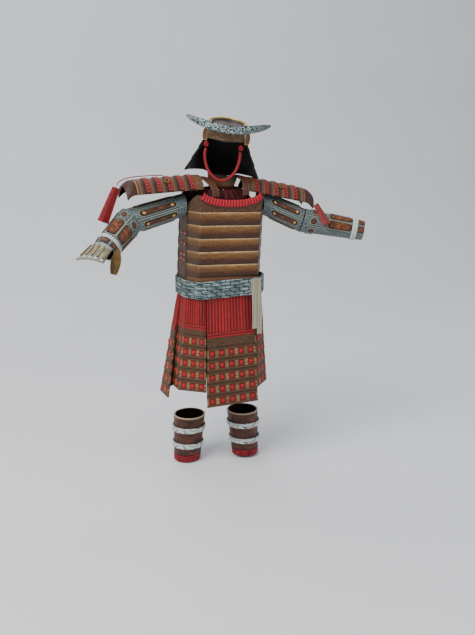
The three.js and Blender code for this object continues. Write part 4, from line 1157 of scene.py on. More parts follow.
def painted_brown(name, edge, dots=False, round_plate=False, tones=BROWN_TONES):
    """Brown lacquered leather inside an edge line. Its cut map runs from -1 to 1 each way."""
    finish = Finish(name, roughness=0.5, specular=0.45)
    across, along = finish.across_and_along()
    grain = finish.grain(finish.spot(across * 0.6, along * 1.6), 1.6, 5.0, 0.62)
    brown = finish.ramp(grain, tones)
    reach = across ** 2 + along ** 2 if round_plate else abs(across) ** 4 + abs(along) ** 14
    rim = finish.rise(reach, 0.62, 0.7)
    brown = finish.blend(finish.rise(reach, 0.4, 0.5), brown, tint(44, 28, 20))
    brown = finish.blend(rim, brown, edge)
    if dots:
        dot = finish.rise(across ** 2 * 0.6 + ((abs(along) - 0.82) * 5.5) ** 2, 0.34, 0.16)
        brown = finish.blend(dot, brown, tint(200, 156, 84))
    finish.feed("Base Color", brown)
    finish.emboss(grain + rim * 0.6, 0.12)
    return finish


DARK_TONES = [(0.34, tint(44, 26, 18)), (0.5, tint(90, 52, 27)), (0.66, tint(144, 90, 42))]
splint_brown = painted_brown("splint_brown", tint(44, 36, 30), dots=True, tones=DARK_TONES)
panel_brown = painted_brown("panel_brown", tint(58, 44, 34))
roundel_brown = painted_brown("roundel_brown", tint(136, 142, 132), round_plate=True, tones=DARK_TONES)
frame_grey = painted_brown("pale_edged_frame", tint(152, 156, 140),
                           tones=[(0.3, tint(36, 32, 28)), (0.7, tint(70, 60, 50))])


def patch(surface, place, size, width_at, rows=9, columns=7):
    """A small plate's points on a surface, and its cut map from -1 to 1 each way. size is its
    width and length in the surface's own measure, width_at the share of its width along it."""
    along = np.sin(np.linspace(-1, 1, rows) * math.pi / 2)
    across = np.linspace(-1, 1, columns)
    half = np.array([width_at(a) for a in along]) * size[0] / 2
    u = place[0] + across[None, :] * half[:, None]
    v = place[1] + along[:, None] * size[1] / 2 + 0 * across[None, :]
    return surface(u, v), flat_cut(across, along)


def rounded(end):
    """Straight sides whose last part is rounded off; end is the share of the length it takes."""
    return lambda a: max(0.2, math.sqrt(max(0.0, 1 - (max(0.0, abs(a) - 1 + end) / end) ** 2)))


def tapered(a):
    """A panel's sides: rounded ends, and a little narrower towards the wrist."""
    return (1 - 0.03 * a) * rounded(0.12)(a)


def straight(_):
    """The same width all along, whatever the place on it."""
    return 1.0


tie_cloth = Finish("pale_tie", roughness=0.75)
tie_run, tie_across = tie_cloth.across_and_along()
tie_noise = tie_cloth.grain(tie_cloth.spot(tie_run * 0.6, tie_across * 1.2), 1.1, 4.0, 0.6)
tie_white = tie_cloth.ramp(tie_noise, [
    (0.25, tint(150, 158, 152)), (0.5, tint(196, 204, 198)), (0.8, tint(226, 230, 224)),
])
# Painted shade in the crease between the two rolls.
tie_fold = abs(abs(tie_across) - 0.12)
tie_white = tie_cloth.shade(tie_white, tie_cloth.rise(tie_fold, 0.0, 0.22), 0.55, 1.0)
tie_cloth.feed("Base Color", tie_white)
tie_cloth.emboss(tie_noise, 0.1)


def band_round(name, surface, from_v, to_v, radius, length, finish, node, slot, puff=0.35):
    """A cloth band bound round a tube, in two soft rolls."""
    turns = np.arange(72) / 72
    places = np.linspace(0, 1, 13)
    wave = puff * np.abs(np.sin(places * 2 * math.pi)) ** 0.7
    crease = 0.12 * np.sin(turns * 2 * math.pi * 9 + 1.0) * np.sin(turns * 2 * math.pi * 4)
    grid = surface(turns[None, :], (from_v + (to_v - from_v) * places)[:, None])
    cut = flat_cut(np.arange(73) / 72 * 2 * math.pi * radius, (places - 0.5) * (to_v - from_v) * length)
    outer = 0.85 + wave[:, None] + crease[None, :]
    band = shell(name, grid, cut, [finish], outer=outer, inner=0.3, wrap=True)
    fit_out(band, slot, node)


MITRE_GAP = 0.45, 0.3
SINK = -0.3
SPLINTS = 7
SPLINT_TURN, FRAME_TURN = 2.7 / 49, 4.2 / 49
SPLINT_MIDDLE, SPLINT_LENGTH, SPLINT_FRAME_LENGTH = 0.55, 0.66, 0.72
SPLINT_PROUD, SPLINT_FRAME_PROUD = 0.75, 0.38
PANEL_SHARE, PANEL_FRAME_SHARE = 0.83, 0.96
PANEL_PROUD, PANEL_FRAME_PROUD = 0.7, 0.34
CUFF_SHARE, CUFF_MIDDLE, CUFF_LENGTH, CUFF_PROUD = 0.7, 0.945, 0.085, 0.5
ROUNDEL, ROUNDEL_MIDDLE, ROUNDEL_PROUD = 5.4, 0.16, 0.7
WRIST_TIE = 0.8, 0.88
WRIST_RADIUS = 7.5
SIDEWAYS = {"right": np.array((-1.0, 0, 0)), "left": np.array((1.0, 0, 0))}
ARMS = {
    "right": dict(shoulder=(-26.2, -1.2, -13.4), elbow=(-63.6, -2.4, -21.8), wrist=(-85.2, -19.5, -36.5),
                  upper_radii=(7.3, 8.3), fore_radii=(9.1, 7.7), splint_turn=0.83, panel_turn=0.80,
                  panels=6, panel_count=6, panel_place=(0.515, 0.42),
                  upper_flat=(0.049, 0.0382), fore_flat=(0.0528, 0.0312)),
    "left": dict(shoulder=(29.3, -1.2, -14.2), elbow=(58.2, -8.4, -27.8), wrist=(97.2, -26.2, -35.2),
                 upper_radii=(7.3, 8.0), fore_radii=(8.2, 6.4), splint_turn=0.165, panel_turn=0.215,
                 panels=7, panel_count=3, panel_place=(0.60, 0.36),
                 upper_flat=(0.0481, 0.0323), fore_flat=(0.0459, 0.0431)),
}
fore_surfaces = {}
for side, arm in ARMS.items():
    shoulder, elbow, wrist = (np.array(arm[key], float) for key in ("shoulder", "elbow", "wrist"))
    upper_length, fore_length = np.linalg.norm(elbow - shoulder), np.linalg.norm(wrist - elbow)
    upper_axis, fore_axis = (elbow - shoulder) / upper_length, (wrist - elbow) / fore_length
    mitre = (upper_axis + fore_axis) / np.linalg.norm(upper_axis + fore_axis)
    upper = limb(shoulder, elbow - upper_axis * MITRE_GAP[0], arm["upper_radii"], SIDEWAYS[side], mitre)
    fore = limb(elbow + fore_axis * MITRE_GAP[1], wrist, arm["fore_radii"], mitre, fore_axis)
    fore_surfaces[side] = fore
    turns = np.arange(80) / 80
    for part, surface, length, middle, count, flat in (
            ("upper", upper, upper_length, arm["splint_turn"], SPLINTS, arm["upper_flat"]),
            ("fore", fore, fore_length, arm["panel_turn"], arm["panels"], arm["fore_flat"])):
        places = np.linspace(0, 1, 26)
        cut = flat_cut((np.arange(81) / 80 - middle) * count, places * length)
        sag = 0.12 * np.sin(turns * 2 * math.pi * 5)[None, :] * np.sin(places * math.pi)[:, None]
        sleeve = shell(f"sleeve_{part}_{side}_mail", surface(turns[None, :], places[:, None]), cut,
                       [mail, dark_back_shade], outer=0.12 + sag, wrap=True)
        fit_out(sleeve, "mail_card", f"sleeve_{part}_{side}")
        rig.sheet(sleeve, flat=flat, held="folded")
    splints, frames = [], []
    for k in range(SPLINTS):
        place = (arm["splint_turn"] + k / SPLINTS, SPLINT_MIDDLE)
        splint = patch(upper, place, (SPLINT_TURN, SPLINT_LENGTH), rounded(0.12), 13)
        edging = patch(upper, place, (FRAME_TURN, SPLINT_FRAME_LENGTH), rounded(0.14), 13)
        splints.append((*splint, SPLINT_PROUD, SINK))
        frames.append((*edging, SPLINT_FRAME_PROUD, SINK))
    fit_out(plates(f"arm_splints_{side}", splints, [splint_brown]), "mail_card")
    panel_turns = [arm["panel_turn"] - k / arm["panels"] for k in range(arm["panels"])]
    panel_middle, panel_length = arm["panel_place"]
    panels, cuffs = [], []
    for turn in panel_turns[:arm["panel_count"]]:
        place = (turn, panel_middle)
        size = (PANEL_SHARE / arm["panels"], panel_length)
        frame_size = (PANEL_FRAME_SHARE / arm["panels"], panel_length + 0.045)
        panels.append((*patch(fore, place, size, tapered, 11), PANEL_PROUD, SINK))
        frames.append((*patch(fore, place, frame_size, tapered, 11), PANEL_FRAME_PROUD, SINK))
        cuff = patch(fore, (turn, CUFF_MIDDLE), (CUFF_SHARE / arm["panels"], CUFF_LENGTH), straight, 5)
        cuffs.append((*cuff, CUFF_PROUD, SINK))
    fit_out(plates(f"arm_panels_{side}", panels, [panel_brown]), "mail_card")
    fit_out(plates(f"arm_frames_{side}", frames, [frame_grey]), "mail_card")
    fit_out(plates(f"cuff_plates_{side}", cuffs, [panel_brown]), "mail_card")
    roundels = []
    for turn in panel_turns:
        grid, cut = patch(fore, (turn, ROUNDEL_MIDDLE), (ROUNDEL / 54, ROUNDEL / fore_length),
                          rounded(1.0), 15, 11)
        cut[..., 0] *= np.sqrt(np.maximum(0.04, 1 - cut[..., 1] ** 2))
        roundels.append((grid, cut, ROUNDEL_PROUD, SINK))
    fit_out(plates(f"elbow_roundels_{side}", roundels, [roundel_brown]), "mail_card")
    band_round(f"wrist_tie_{side}_cloth", fore, *WRIST_TIE, WRIST_RADIUS, fore_length, tie_cloth,
               f"wrist_tie_{side}", "tie_card")

# ---------------------------------------------------------------- hand and thumb guards
# A grey steel plate with five long gilt bars and a pale stud at each knuckle fans out over the
# back of the right hand. A small leaf of olive-brown card guards the thumb.
HAND_BARS = 5
HAND_TURN = -0.03
HAND_START, HAND_REACH = 1.03, 0.5
WRIST_WIDTH, WIDER_AT_KNUCKLES = 16.5, 2.5
WRIST_BEND, FLATTER_AT_KNUCKLES = 8.2, 12.8
STUD_SIZE = (1.5, 1.5, 1.1)
THUMB_LENGTH = 17
hand_steel = Finish("hand_steel", roughness=0.5, specular=0.5)
hand_across, hand_along = hand_steel.across_and_along()
hand_noise = hand_steel.grain(hand_steel.spot(hand_across * 2.0, hand_along * 1.4), 2.0, 4.0, 0.6)
hand_grey = hand_steel.ramp(hand_noise, [
    (0.25, tint(92, 100, 98)), (0.5, tint(146, 154, 148)), (0.8, tint(206, 210, 200)),
])
hand_line = abs((hand_across * (HAND_BARS / 2)).fraction() - 0.5)
hand_grey = hand_steel.blend(hand_steel.rise(hand_line, 0.05, 0.02), hand_grey, tint(58, 54, 46))
hand_grey = hand_steel.blend(hand_steel.rise(abs(hand_across), 0.93, 0.97), hand_grey, tint(70, 62, 50))
hand_end = hand_steel.rise(abs(hand_along - 0.5), 0.45, 0.48)
hand_grey = hand_steel.blend(hand_end, hand_grey, tint(150, 144, 124))
hand_steel.feed("Base Color", hand_grey)
hand_steel.emboss(hand_noise, 0.12)
GILT_TONES = [(0.3, tint(110, 86, 48)), (0.5, tint(158, 130, 80)), (0.7, tint(192, 166, 112))]
gilt_bar = painted_brown("gilt_bar", tint(56, 46, 34), tones=GILT_TONES)


def hand_surface(u, v):
    """The plate follows the sleeve's line past the wrist and is bent less and less across it."""
    u, v = np.broadcast_arrays(np.asarray(u, float), np.asarray(v, float))
    fore, turn, place = fore_surfaces["right"], np.full(u.shape, HAND_TURN), HAND_START + HAND_REACH * v
    across = fore(turn + 0.001, place) - fore(turn - 0.001, place)
    across /= np.linalg.norm(across, axis=-1, keepdims=True)
    along = fore(turn, place + 0.01) - fore(turn, place - 0.01)
    along /= np.linalg.norm(along, axis=-1, keepdims=True)
    out = np.cross(across, along)
    bend = (WRIST_BEND + FLATTER_AT_KNUCKLES * v)[..., None]
    angle = ((u - 0.5) * (WRIST_WIDTH + WIDER_AT_KNUCKLES * v))[..., None] / bend
    return fore(turn, place) + across * bend * np.sin(angle) + out * bend * (np.cos(angle) - 1)


hand_u, hand_v = np.linspace(0, 1, 41), np.linspace(0, 1, 21)
hand_plate = shell("hand_guard_plate", hand_surface(hand_u[None, :], hand_v[:, None]),
                   flat_cut(hand_u * 2 - 1, hand_v), [hand_steel, dark_back_shade], outer=0.1)
fit_out(hand_plate, "steel_card", "hand_guard")
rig.sheet(hand_plate, flat=(0.019, 0.0155), area=0.000272, held="folded")
bars, knuckles = [], []
for k in range(HAND_BARS):
    across_hand = (k + 0.5) / HAND_BARS
    bar = patch(hand_surface, (across_hand, 0.5), (0.085, 0.66), rounded(0.16), 11)
    bars.append((*bar, 0.65, SINK))
    point, across, out = frame_at(hand_surface, across_hand, 0.92)
    knuckles.append((point + out * 0.3, across, out))
fit_out(plates("hand_guard_bars", bars, [gilt_bar]), "gold_card")
pads("knuckle_studs", knuckles, STUD_SIZE, white_lace, "tie_card", rounding=2)

THUMB_TONES = [(0.25, tint(70, 54, 26)), (0.5, tint(110, 84, 36)), (0.78, tint(140, 112, 50))]
thumb_brown = painted_brown("thumb_leaf", tint(150, 132, 58), tones=THUMB_TONES)
thumb_turn = (Matrix.Translation((-80.5, -28.0, -42.0)) @ Matrix.Rotation(-0.5, 4, "Z")
              @ Matrix.Rotation(0.2, 4, "Y") @ Matrix.Rotation(math.pi / 2 - 0.1, 4, "X"))
thumb_down = np.linspace(-1, 1, 19)
thumb_t = (1 - thumb_down) / 2
thumb_half = np.maximum(0.25, 2 * thumb_t * (1 - thumb_t) * 5.25 + thumb_t ** 2 * 1.96)
thumb_across = np.linspace(-1, 1, 9)
thumb_y = THUMB_LENGTH * ((1 - thumb_t) ** 2 * 0.5 + 2 * thumb_t * (1 - thumb_t) * 0.1 - thumb_t ** 2 * 0.5)
thumb_grid = np.stack([thumb_across[None, :] * thumb_half[:, None], np.repeat(thumb_y[:, None], 9, 1),
                       np.zeros((19, 9))], axis=-1)
thumb_crown = 0.2 * np.cos(thumb_across * math.pi / 2)[None, :]
thumb = shell("thumb_leaf_card", moved(thumb_grid, thumb_turn), flat_cut(thumb_across, thumb_down),
              [thumb_brown, dark_back_shade], outer=0.5 + thumb_crown, inner=-0.5)
fit_out(thumb, "gold_card", "thumb_guard")

# ---------------------------------------------------------------- shoulder guards
# Each shoulder guard is an arched plate of seven cross lames, the last one bent down. Two red
# cords with pale knots between them lie along five of the joins, and a small ring stands on top.
GUARD_LAMES = 7
# start and end of each ridge, and where its ring stands across and along it
GUARDS = {
    "right": ((-15.6, -1.5, 6.0), (-62.0, -2.4, 4.6), (0.26, 0.46)),
    "left": ((18.2, -1.5, 3.4), (61.0, -4.2, -6.4), (0.74, 0.5)),
}
GUARD_FLAT = (0.0275, 0.052)
ARCH_RADIUS, ARCH_TURN = 10.5, 2.6
ARCH_WIDTH = ARCH_RADIUS * ARCH_TURN
ARCH_HEIGHT = 1.1
BEND_FROM = 0.88
GUARD_LACE = 1.5 / 52.7
GUARD_KNOT_SIZE = (0.6, 0.45, 0.5)
GUARD_RING, GUARD_WIRE = 1.5, 0.4
guard_card = Finish("shoulder_guard_lames", roughness=0.55, specular=0.4)
guard_across, guard_level = guard_card.across_and_along()
guard_place = (guard_level + 0.22).fraction()
guard_grain = guard_card.grain(guard_card.spot(guard_across * 0.7, guard_level * 9.0), 1.3, 4.0, 0.6)
# The ramp paints a tan highlight on the raised end of each lame, darkening away from it: partly the card's print and
# partly painted light.
guard_brown = guard_card.ramp(guard_place, [
    (0.0, tint(104, 80, 56)), (0.1, tint(96, 42, 33)), (0.4, tint(84, 35, 27)), (0.46, tint(52, 38, 26)),
    (0.6, tint(66, 49, 33)), (0.78, tint(98, 76, 54)), (1.0, tint(126, 102, 76)),
])
inner_brown = guard_card.ramp(guard_grain, [(0.3, tint(92, 66, 48)), (0.7, tint(132, 102, 74))])
guard_brown = guard_card.blend(guard_card.rise(guard_level, 0.8, 0.7), guard_brown, inner_brown)
# Painted shade: the bent-down last lame, which faces down away from the light, is coloured darker.
outer_brown = guard_card.ramp(guard_grain, [(0.3, tint(52, 29, 19)), (0.7, tint(88, 51, 32))])
guard_brown = guard_card.blend(guard_card.rise(guard_level, 6.04, 6.1), guard_brown, outer_brown)
guard_fold = guard_card.band(guard_level, 5.93, 6.02, 0.03)
guard_brown = guard_card.blend(guard_fold, guard_brown, tint(156, 124, 94))
guard_card.feed("Base Color", guard_card.shade(guard_brown, guard_grain, 0.45, 1.5))
guard_card.emboss(guard_grain, 0.1)
guard_lacing = Finish("guard_lacing", roughness=0.65)
lacing_run, lacing_across = guard_lacing.across_and_along()
strand = (lacing_run * 5.2 + lacing_across * 1.6).sine() * 0.5 + 0.5
lacing_red = guard_lacing.ramp(strand, [
    (0.1, tint(92, 18, 24)), (0.5, tint(146, 34, 38)), (1.0, tint(182, 62, 58)),
])
# Painted shade: each lace is darker at both sides.
lacing_red = guard_lacing.shade(lacing_red, guard_lacing.rise(abs(lacing_across), 1.0, 0.5), 0.5, 1.0)
guard_lacing.feed("Base Color", lacing_red)
guard_lacing.emboss(strand, 0.1)
dull_knot = Finish("dull_lace_knot", roughness=0.8)
dull_grain = dull_knot.grain(dull_knot.on_object(), 1500.0, 3.0)
dull_pale = dull_knot.ramp(dull_grain, [(0.3, tint(150, 112, 100)), (0.7, tint(206, 178, 162))])
dull_knot.feed("Base Color", dull_pale)
dull_knot.emboss(dull_grain, 0.05)
gilt = Finish("dark_gilt", roughness=0.4, metallic=0.6)
gilt_grain = gilt.grain(gilt.on_object(), 900.0, 3.0)
gilt.feed("Base Color", gilt.blend(gilt_grain, tint(92, 72, 38), tint(178, 146, 78)))
gilt.feed("Roughness", gilt_grain * 0.3 + 0.28)
# The guard's underside is coloured very dark: painted shade under the guard.
under_card = Finish("guard_underside", roughness=0.9, specular=0.1)
under_grain = under_card.grain(under_card.on_object(), 500.0, 3.0)
under_card.feed("Base Color", under_card.blend(under_grain, tint(26, 16, 16), tint(48, 28, 26)))
under_card.emboss(under_grain, 0.05)


def guard_arch(start, end):
    """The arched surface of a guard, level along its ridge up to where it is bent down."""
    start, end = np.array(start, float), np.array(end, float)
    length = np.linalg.norm(end - start)
    unit = (end - start) / length
    up = np.array((0, 0, 1.0)) - unit * unit[2]
    up /= np.linalg.norm(up)
    across = np.cross(unit, up)

    def surface(u, v):
        u, v = np.broadcast_arrays(np.asarray(u, float), np.asarray(v, float))
        bend = np.maximum(0, v - BEND_FROM) / (1 - BEND_FROM)
        tail = length * (1 / BEND_FROM - 1) * bend
        ridge = start + (end - start) * (np.minimum(v, BEND_FROM) / BEND_FROM)[..., None]
        ridge = ridge + unit * (tail * np.cos(bend * 0.3))[..., None]
        ridge = ridge - np.array((0, 0, 1.0)) * (tail * np.sin(bend * 0.6))[..., None]
        angle = ((u - 0.5) * ARCH_TURN)[..., None]
        sideways = across * ARCH_RADIUS * np.sin(angle)
        return ridge + sideways + up * ARCH_RADIUS * ARCH_HEIGHT * (np.cos(angle) - 1)

    return surface


for side, (start, end, ring_place) in GUARDS.items():
    arch = guard_arch(start, end)
    across = np.linspace(0, 1, 41)
    steps = (0.0, 0.15, 0.35, 0.55, 0.75, 0.9, 0.965)
    shares = np.array([k + step for k in range(GUARD_LAMES) for step in steps])
    levels = shares / GUARD_LAMES
    proud = 0.42 * np.minimum(1, shares % 1 + 0.05) ** 0.8
    guard = shell(f"shoulder_guard_{side}_card", arch(across[None, :], levels[:, None]),
                  flat_cut((across - 0.5) * ARCH_WIDTH, shares), [guard_card, under_card],
                  outer=proud[:, None])
    fit_out(guard, "lame_card", f"shoulder_guard_{side}")
    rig.sheet(guard, flat=GUARD_FLAT, held="folded")
    laces, dots = [], []
    for k in range(1, GUARD_LAMES - 1):
        for offset in (-0.14, 0.12):
            u = np.linspace(0.02, 0.98, 33)
            v = (k + offset) / GUARD_LAMES + np.array((-0.5, -0.2, 0.2, 0.5)) * GUARD_LACE
            rib = np.array((0.4, 1.0, 1.0, 0.4)) * 0.55 + 0.3
            cut = flat_cut((u - 0.5) * 24, np.array((-1, -0.4, 0.4, 1)))
            laces.append((arch(u[None, :], v[:, None]), cut, rib[:, None] + 0 * u[None, :], -0.2))
        for u in np.linspace(0.06, 0.94, 12):
            point, way, out = frame_at(arch, u, (k - 0.01) / GUARD_LAMES, 0.01, 0.005)
            dots.append((point + out * 0.45, way, out))
    fit_out(plates(f"guard_laces_{side}", laces, [guard_lacing]), "lacing_card")
    pads(f"guard_lace_knots_{side}", dots, GUARD_KNOT_SIZE, dull_knot, "tie_card")
    point, way, out = frame_at(arch, *ring_place, 0.002, 0.002)
    turn = np.arange(28) / 28 * 2 * math.pi
    other = np.cross(out, way)
    round_it = np.cos(turn)[:, None] * way + np.sin(turn)[:, None] * other
    ring_line = point + out * 1.2 + GUARD_RING * round_it
    ring = cord_mesh(f"guard_ring_{side}_wire", ring_line, GUARD_WIRE, [gilt], sides=10, closed=True)
    fit_out(ring, "gold_card", f"guard_ring_{side}")

# A folded bar of bright red card hangs from the outer end of each guard, and widens to its foot.
tassel_card = Finish("folded_red_card", roughness=0.55)
fold_place, fold_along = tassel_card.across_and_along()
tassel_noise = tassel_card.grain(tassel_card.spot(fold_place * 3.0, fold_along * 0.4), 1.2, 4.0)
fold_line = abs(fold_place.fraction() - 0.5) * 2
tassel_red = tassel_card.ramp(tassel_noise, [(0.3, tint(104, 16, 26)), (0.7, tint(170, 38, 42))])
# Painted light and shade: the red is lighter or darker from face to face round the bar.
tassel_red = tassel_card.shade(tassel_red, (fold_place * 3.0).sine() * 0.5 + 0.5, 0.72, 1.15)
crease = tassel_card.rise(fold_line, 0.16, 0.06) + tassel_card.rise(fold_line, 0.88, 0.96)
tassel_red = tassel_card.blend(crease * 0.8, tassel_red, tint(60, 12, 18))
tassel_card.feed("Base Color", tassel_red)
tassel_card.emboss(tassel_noise, 0.12)
TASSELS = {
    "right": ((-73.0, -7.0, 0.8), (-83.0, -9.0, -20.2)),
    "left": ((62.6, -20.8, -15.6), (67.4, -29.0, -28.4)),
}
TASSEL_TOP, TASSEL_SPREAD = 2.6, 1.3
TASSEL_ROWS = 12
FOLD_SPOTS = (0.03, 0.25, 0.5, 0.75, 0.97)
for side, (top, tip) in TASSELS.items():
    top, tip = np.array(top), np.array(tip)
    length = np.linalg.norm(tip - top)
    turn = Vector((0, -1, 0)).rotation_difference(Vector(tip - top)).to_matrix().to_4x4()
    corners = np.array([0, 90, 180, 270]) * math.pi / 180
    rings = []
    for share in np.linspace(0, 1, TASSEL_ROWS + 1):
        radius = TASSEL_TOP + TASSEL_SPREAD * share
        outline = []
        for k in range(4):
            for f in FOLD_SPOTS:
                a, b = corners[k], corners[k] + math.pi / 2
                flat_x = radius * (math.sin(a) * (1 - f) + math.sin(b) * f)
                flat_z = radius * (math.cos(a) * (1 - f) + math.cos(b) * f)
                pinch = 1 - 0.10 * math.sin(math.pi * f)
                outline.append((flat_x * pinch, length * (0.5 - share), flat_z * pinch))
        rings.append(outline)
    points = moved(np.array(rings), Matrix.Translation((top + tip) / 2) @ turn)
    count = len(points[0])
    faces = [tuple(range(count)), tuple(reversed(range(TASSEL_ROWS * count, (TASSEL_ROWS + 1) * count)))]
    cut = [(0.5, 0)] * (2 * count)
    for j in range(TASSEL_ROWS):
        for i in range(count):
            after = (i + 1) % count
            faces.append((j * count + after, j * count + i, (j + 1) * count + i, (j + 1) * count + after))
            low, high = j / TASSEL_ROWS * length, (j + 1) / TASSEL_ROWS * length
            left, right = i / len(FOLD_SPOTS), (i + 1) / len(FOLD_SPOTS)
            cut += [(right, low), (left, low), (left, high), (right, high)]
    tassel = make_mesh(f"tassel_{side}_card", points.reshape(-1, 3), faces, cut, [tassel_card], sharp=25)
    fit_out(tassel, "lacing_card", f"tassel_{side}")

# ---------------------------------------------------------------- helmet
# The helmet is a low open drum of dark card with a gilt rim, over a brown brow band whose ends
# turn back as two small wings. Three flaring dark lames close its back and sides, and hang a
# little lower in the middle of the back.
CROWN = HEAD @ Matrix.Translation((0, 1.85, 0)) @ Matrix.Rotation(0.2, 4, "X")
# radius and height, from the middle of the inner face round the rim to the middle of the top
CROWN_PROFILE = [
    (0, 10.6), (6.0, 10.6), (9.8, 10.6), (10.1, 10.4), (9.5, 6.5), (9.0, 2.7), (9.2, 2.5), (9.9, 2.5),
    (10.1, 2.7), (10.4, 5.2), (10.7, 7.8), (10.95, 10.4), (11.1, 12.5), (10.95, 12.65), (10.3, 12.65),
    (10.1, 12.4), (9.8, 11.7), (6.0, 11.6), (0, 11.6),
]
RIM_RADIUS, RIM_HEIGHT, RIM_THICK = 12.05, 12.7, 0.62
drum = Finish("helmet_drum", roughness=0.5, specular=0.45)
drum_turn, drum_up = drum.across_and_along()
drum_grain = drum.grain(drum.spot(drum_turn * 6.0, drum_up * 0.5), 1.6, 5.0, 0.6)
drum_tone = drum.ramp(drum_grain * 0.5 + (drum_turn * 2 * math.pi * 3.0).sine() * 0.12 + 0.25, [
    (0.3, tint(40, 31, 27)), (0.5, tint(68, 56, 49)), (0.7, tint(102, 90, 84)),
])
drum.feed("Base Color", drum.shade(drum_tone, drum.band(drum_up, 11.72, 20.0, 0.1), 1.0, 0.45))
drum.emboss(drum_grain, 0.08)
rim_gilt = Finish("rim_gilt", roughness=0.35, metallic=0.65)
rim_grain = rim_gilt.grain(rim_gilt.on_object(), 800.0, 4.0, 0.6)
rim_colour = rim_gilt.ramp(rim_grain, [
    (0.25, tint(140, 104, 32)), (0.5, tint(204, 166, 64)), (0.8, tint(234, 206, 112)),
])
rim_gilt.feed("Base Color", rim_colour)
rim_gilt.feed("Roughness", rim_grain * 0.3 + 0.22)


def turned(profile, count):
    """A profile of radius and height turned about the upright axis, from pole to pole."""
    turns = np.arange(count) / count * 2 * math.pi
    points, starts = [], []
    for radius, height in profile:
        starts.append(len(points))
        for turn in turns if radius > 0 else turns[:1]:
            points.append((radius * math.cos(turn), radius * math.sin(turn), height))
    faces, cut = [], []
    for k in range(len(profile) - 1):
        low, high = profile[k], profile[k + 1]
        for i in range(count):
            j = (i + 1) % count
            ring = [(starts[k] + (i if low[0] > 0 else 0), (i / count, low[1])),
                    (starts[k] + (j if low[0] > 0 else 0), ((i + 1) / count, low[1])),
                    (starts[k + 1] + (j if high[0] > 0 else 0), ((i + 1) / count, high[1])),
                    (starts[k + 1] + (i if high[0] > 0 else 0), (i / count, high[1]))]
            kept = [corner for n, corner in enumerate(ring) if corner[0] != ring[n - 1][0]]
            faces.append([v for v, _ in kept])
            cut += [c for _, c in kept]
    return points, faces, cut


points, faces, cut = turned(CROWN_PROFILE, 64)
crown = make_mesh("helmet_crown_drum", moved(points, CROWN), faces, cut, [drum], sharp=35)
fit_out(crown, "dark_card", "helmet_crown")
turn = np.arange(72) / 72 * 2 * math.pi
rim_circle = np.stack([RIM_RADIUS * np.cos(turn), RIM_RADIUS * np.sin(turn),
                       np.full(72, RIM_HEIGHT)], axis=1)
rim = cord_mesh("helmet_rim_gilt", moved(rim_circle, CROWN), RIM_THICK, [rim_gilt], closed=True)
fit_out(rim, "gold_card", "helmet_rim")

BROW_RADIUS, BROW_HALF_TURN = 12.7, 1.36
BROW_FOOT, BROW_TOP = 1.3, 7.5
brow_card = Finish("brow_band", roughness=0.5, specular=0.4)
brow_run, brow_up = brow_card.across_and_along()
brow_grain = brow_card.grain(brow_card.spot(brow_run * 0.25, brow_up * 0.6), 1.4, 5.0, 0.6)
brow_brown = brow_card.ramp(brow_grain, [
    (0.25, tint(64, 46, 34)), (0.5, tint(104, 80, 56)), (0.8, tint(150, 122, 88)),
])
brow_line = brow_card.band(abs(brow_run), 15.0, 15.8, 0.15)
brow_brown = brow_card.blend(brow_card.band(abs(brow_run), 14.5, 14.9, 0.15), brow_brown, tint(40, 28, 22))
brow_brown = brow_card.blend(brow_line, brow_brown, tint(186, 158, 104))
brow_brown = brow_card.blend(brow_card.band(brow_up, 0.0, 0.35, 0.12), brow_brown, tint(52, 38, 30))
brow_brown = brow_card.blend(brow_card.band(brow_up, 5.9, 6.4, 0.12), brow_brown, tint(52, 38, 30))
brow_card.feed("Base Color", brow_brown)
brow_card.emboss(brow_grain + brow_line, 0.12)
brow_u = np.linspace(-BROW_HALF_TURN, BROW_HALF_TURN, 65)
brow_z = np.linspace(BROW_FOOT, BROW_TOP, 12)
brow_radius = BROW_RADIUS - 0.04 * brow_z[:, None]
brow_grid = np.stack([brow_radius * np.cos(brow_u - math.pi / 2),
                      0.4 + brow_radius * np.sin(brow_u - math.pi / 2),
                      brow_z[:, None] + 0 * brow_u], axis=-1)
lip = sum(0.18 * np.exp(-((brow_z - edge) / 0.5) ** 2) for edge in (BROW_FOOT + 0.4, BROW_TOP - 0.4))
brow = shell("helmet_brow_band", moved(brow_grid, HEAD), flat_cut(brow_u * BROW_RADIUS, brow_z - BROW_FOOT),
             [brow_card, dark_back_shade], outer=lip[:, None])
fit_out(brow, "lame_card", "helmet_brow")

wing_card = Finish("turned_back_wing", roughness=0.5, specular=0.4)
wing_across, wing_up = wing_card.across_and_along()
wing_grain = wing_card.grain(wing_card.spot(wing_across, wing_up), 0.8, 5.0, 0.6)
wing_brown = wing_card.ramp(wing_grain, [(0.3, tint(76, 54, 38)), (0.7, tint(128, 98, 68))])
wing_edge = wing_card.rise((abs(wing_across - 0.5) * 2) ** 4 + (abs(wing_up / 4 - 1)) ** 6, 0.5, 0.7)
wing_card.feed("Base Color", wing_card.blend(wing_edge, wing_brown, tint(180, 148, 88)))
wing_card.emboss(wing_grain + wing_edge, 0.15)
for side, sign in SIDES.items():
    share = np.linspace(0, 1, 13)
    width = 2.8 + 3.2 * share * (1 - share) - 0.2 * share
    across = np.linspace(0, 1, 8)
    x = sign * across[None, :] * width[:, None]
    grid = np.stack([x, 0 * x, 7.7 * share[:, None] + 0 * x], axis=-1)
    place = HEAD @ Matrix.Translation((sign * 12.4, -5.4, 0.1)) @ Matrix.Rotation(sign * 0.5, 4, "Z")
    if sign < 0:
        grid, cut = grid[:, ::-1], flat_cut(across[::-1], 8 * share)
    else:
        cut = flat_cut(across, 8 * share)
    wing = shell(f"helmet_wing_{side}_card", moved(grid, place), cut, [wing_card], outer=0.5, inner=-0.5)
    fit_out(wing, "lame_card", f"helmet_wing_{side}")

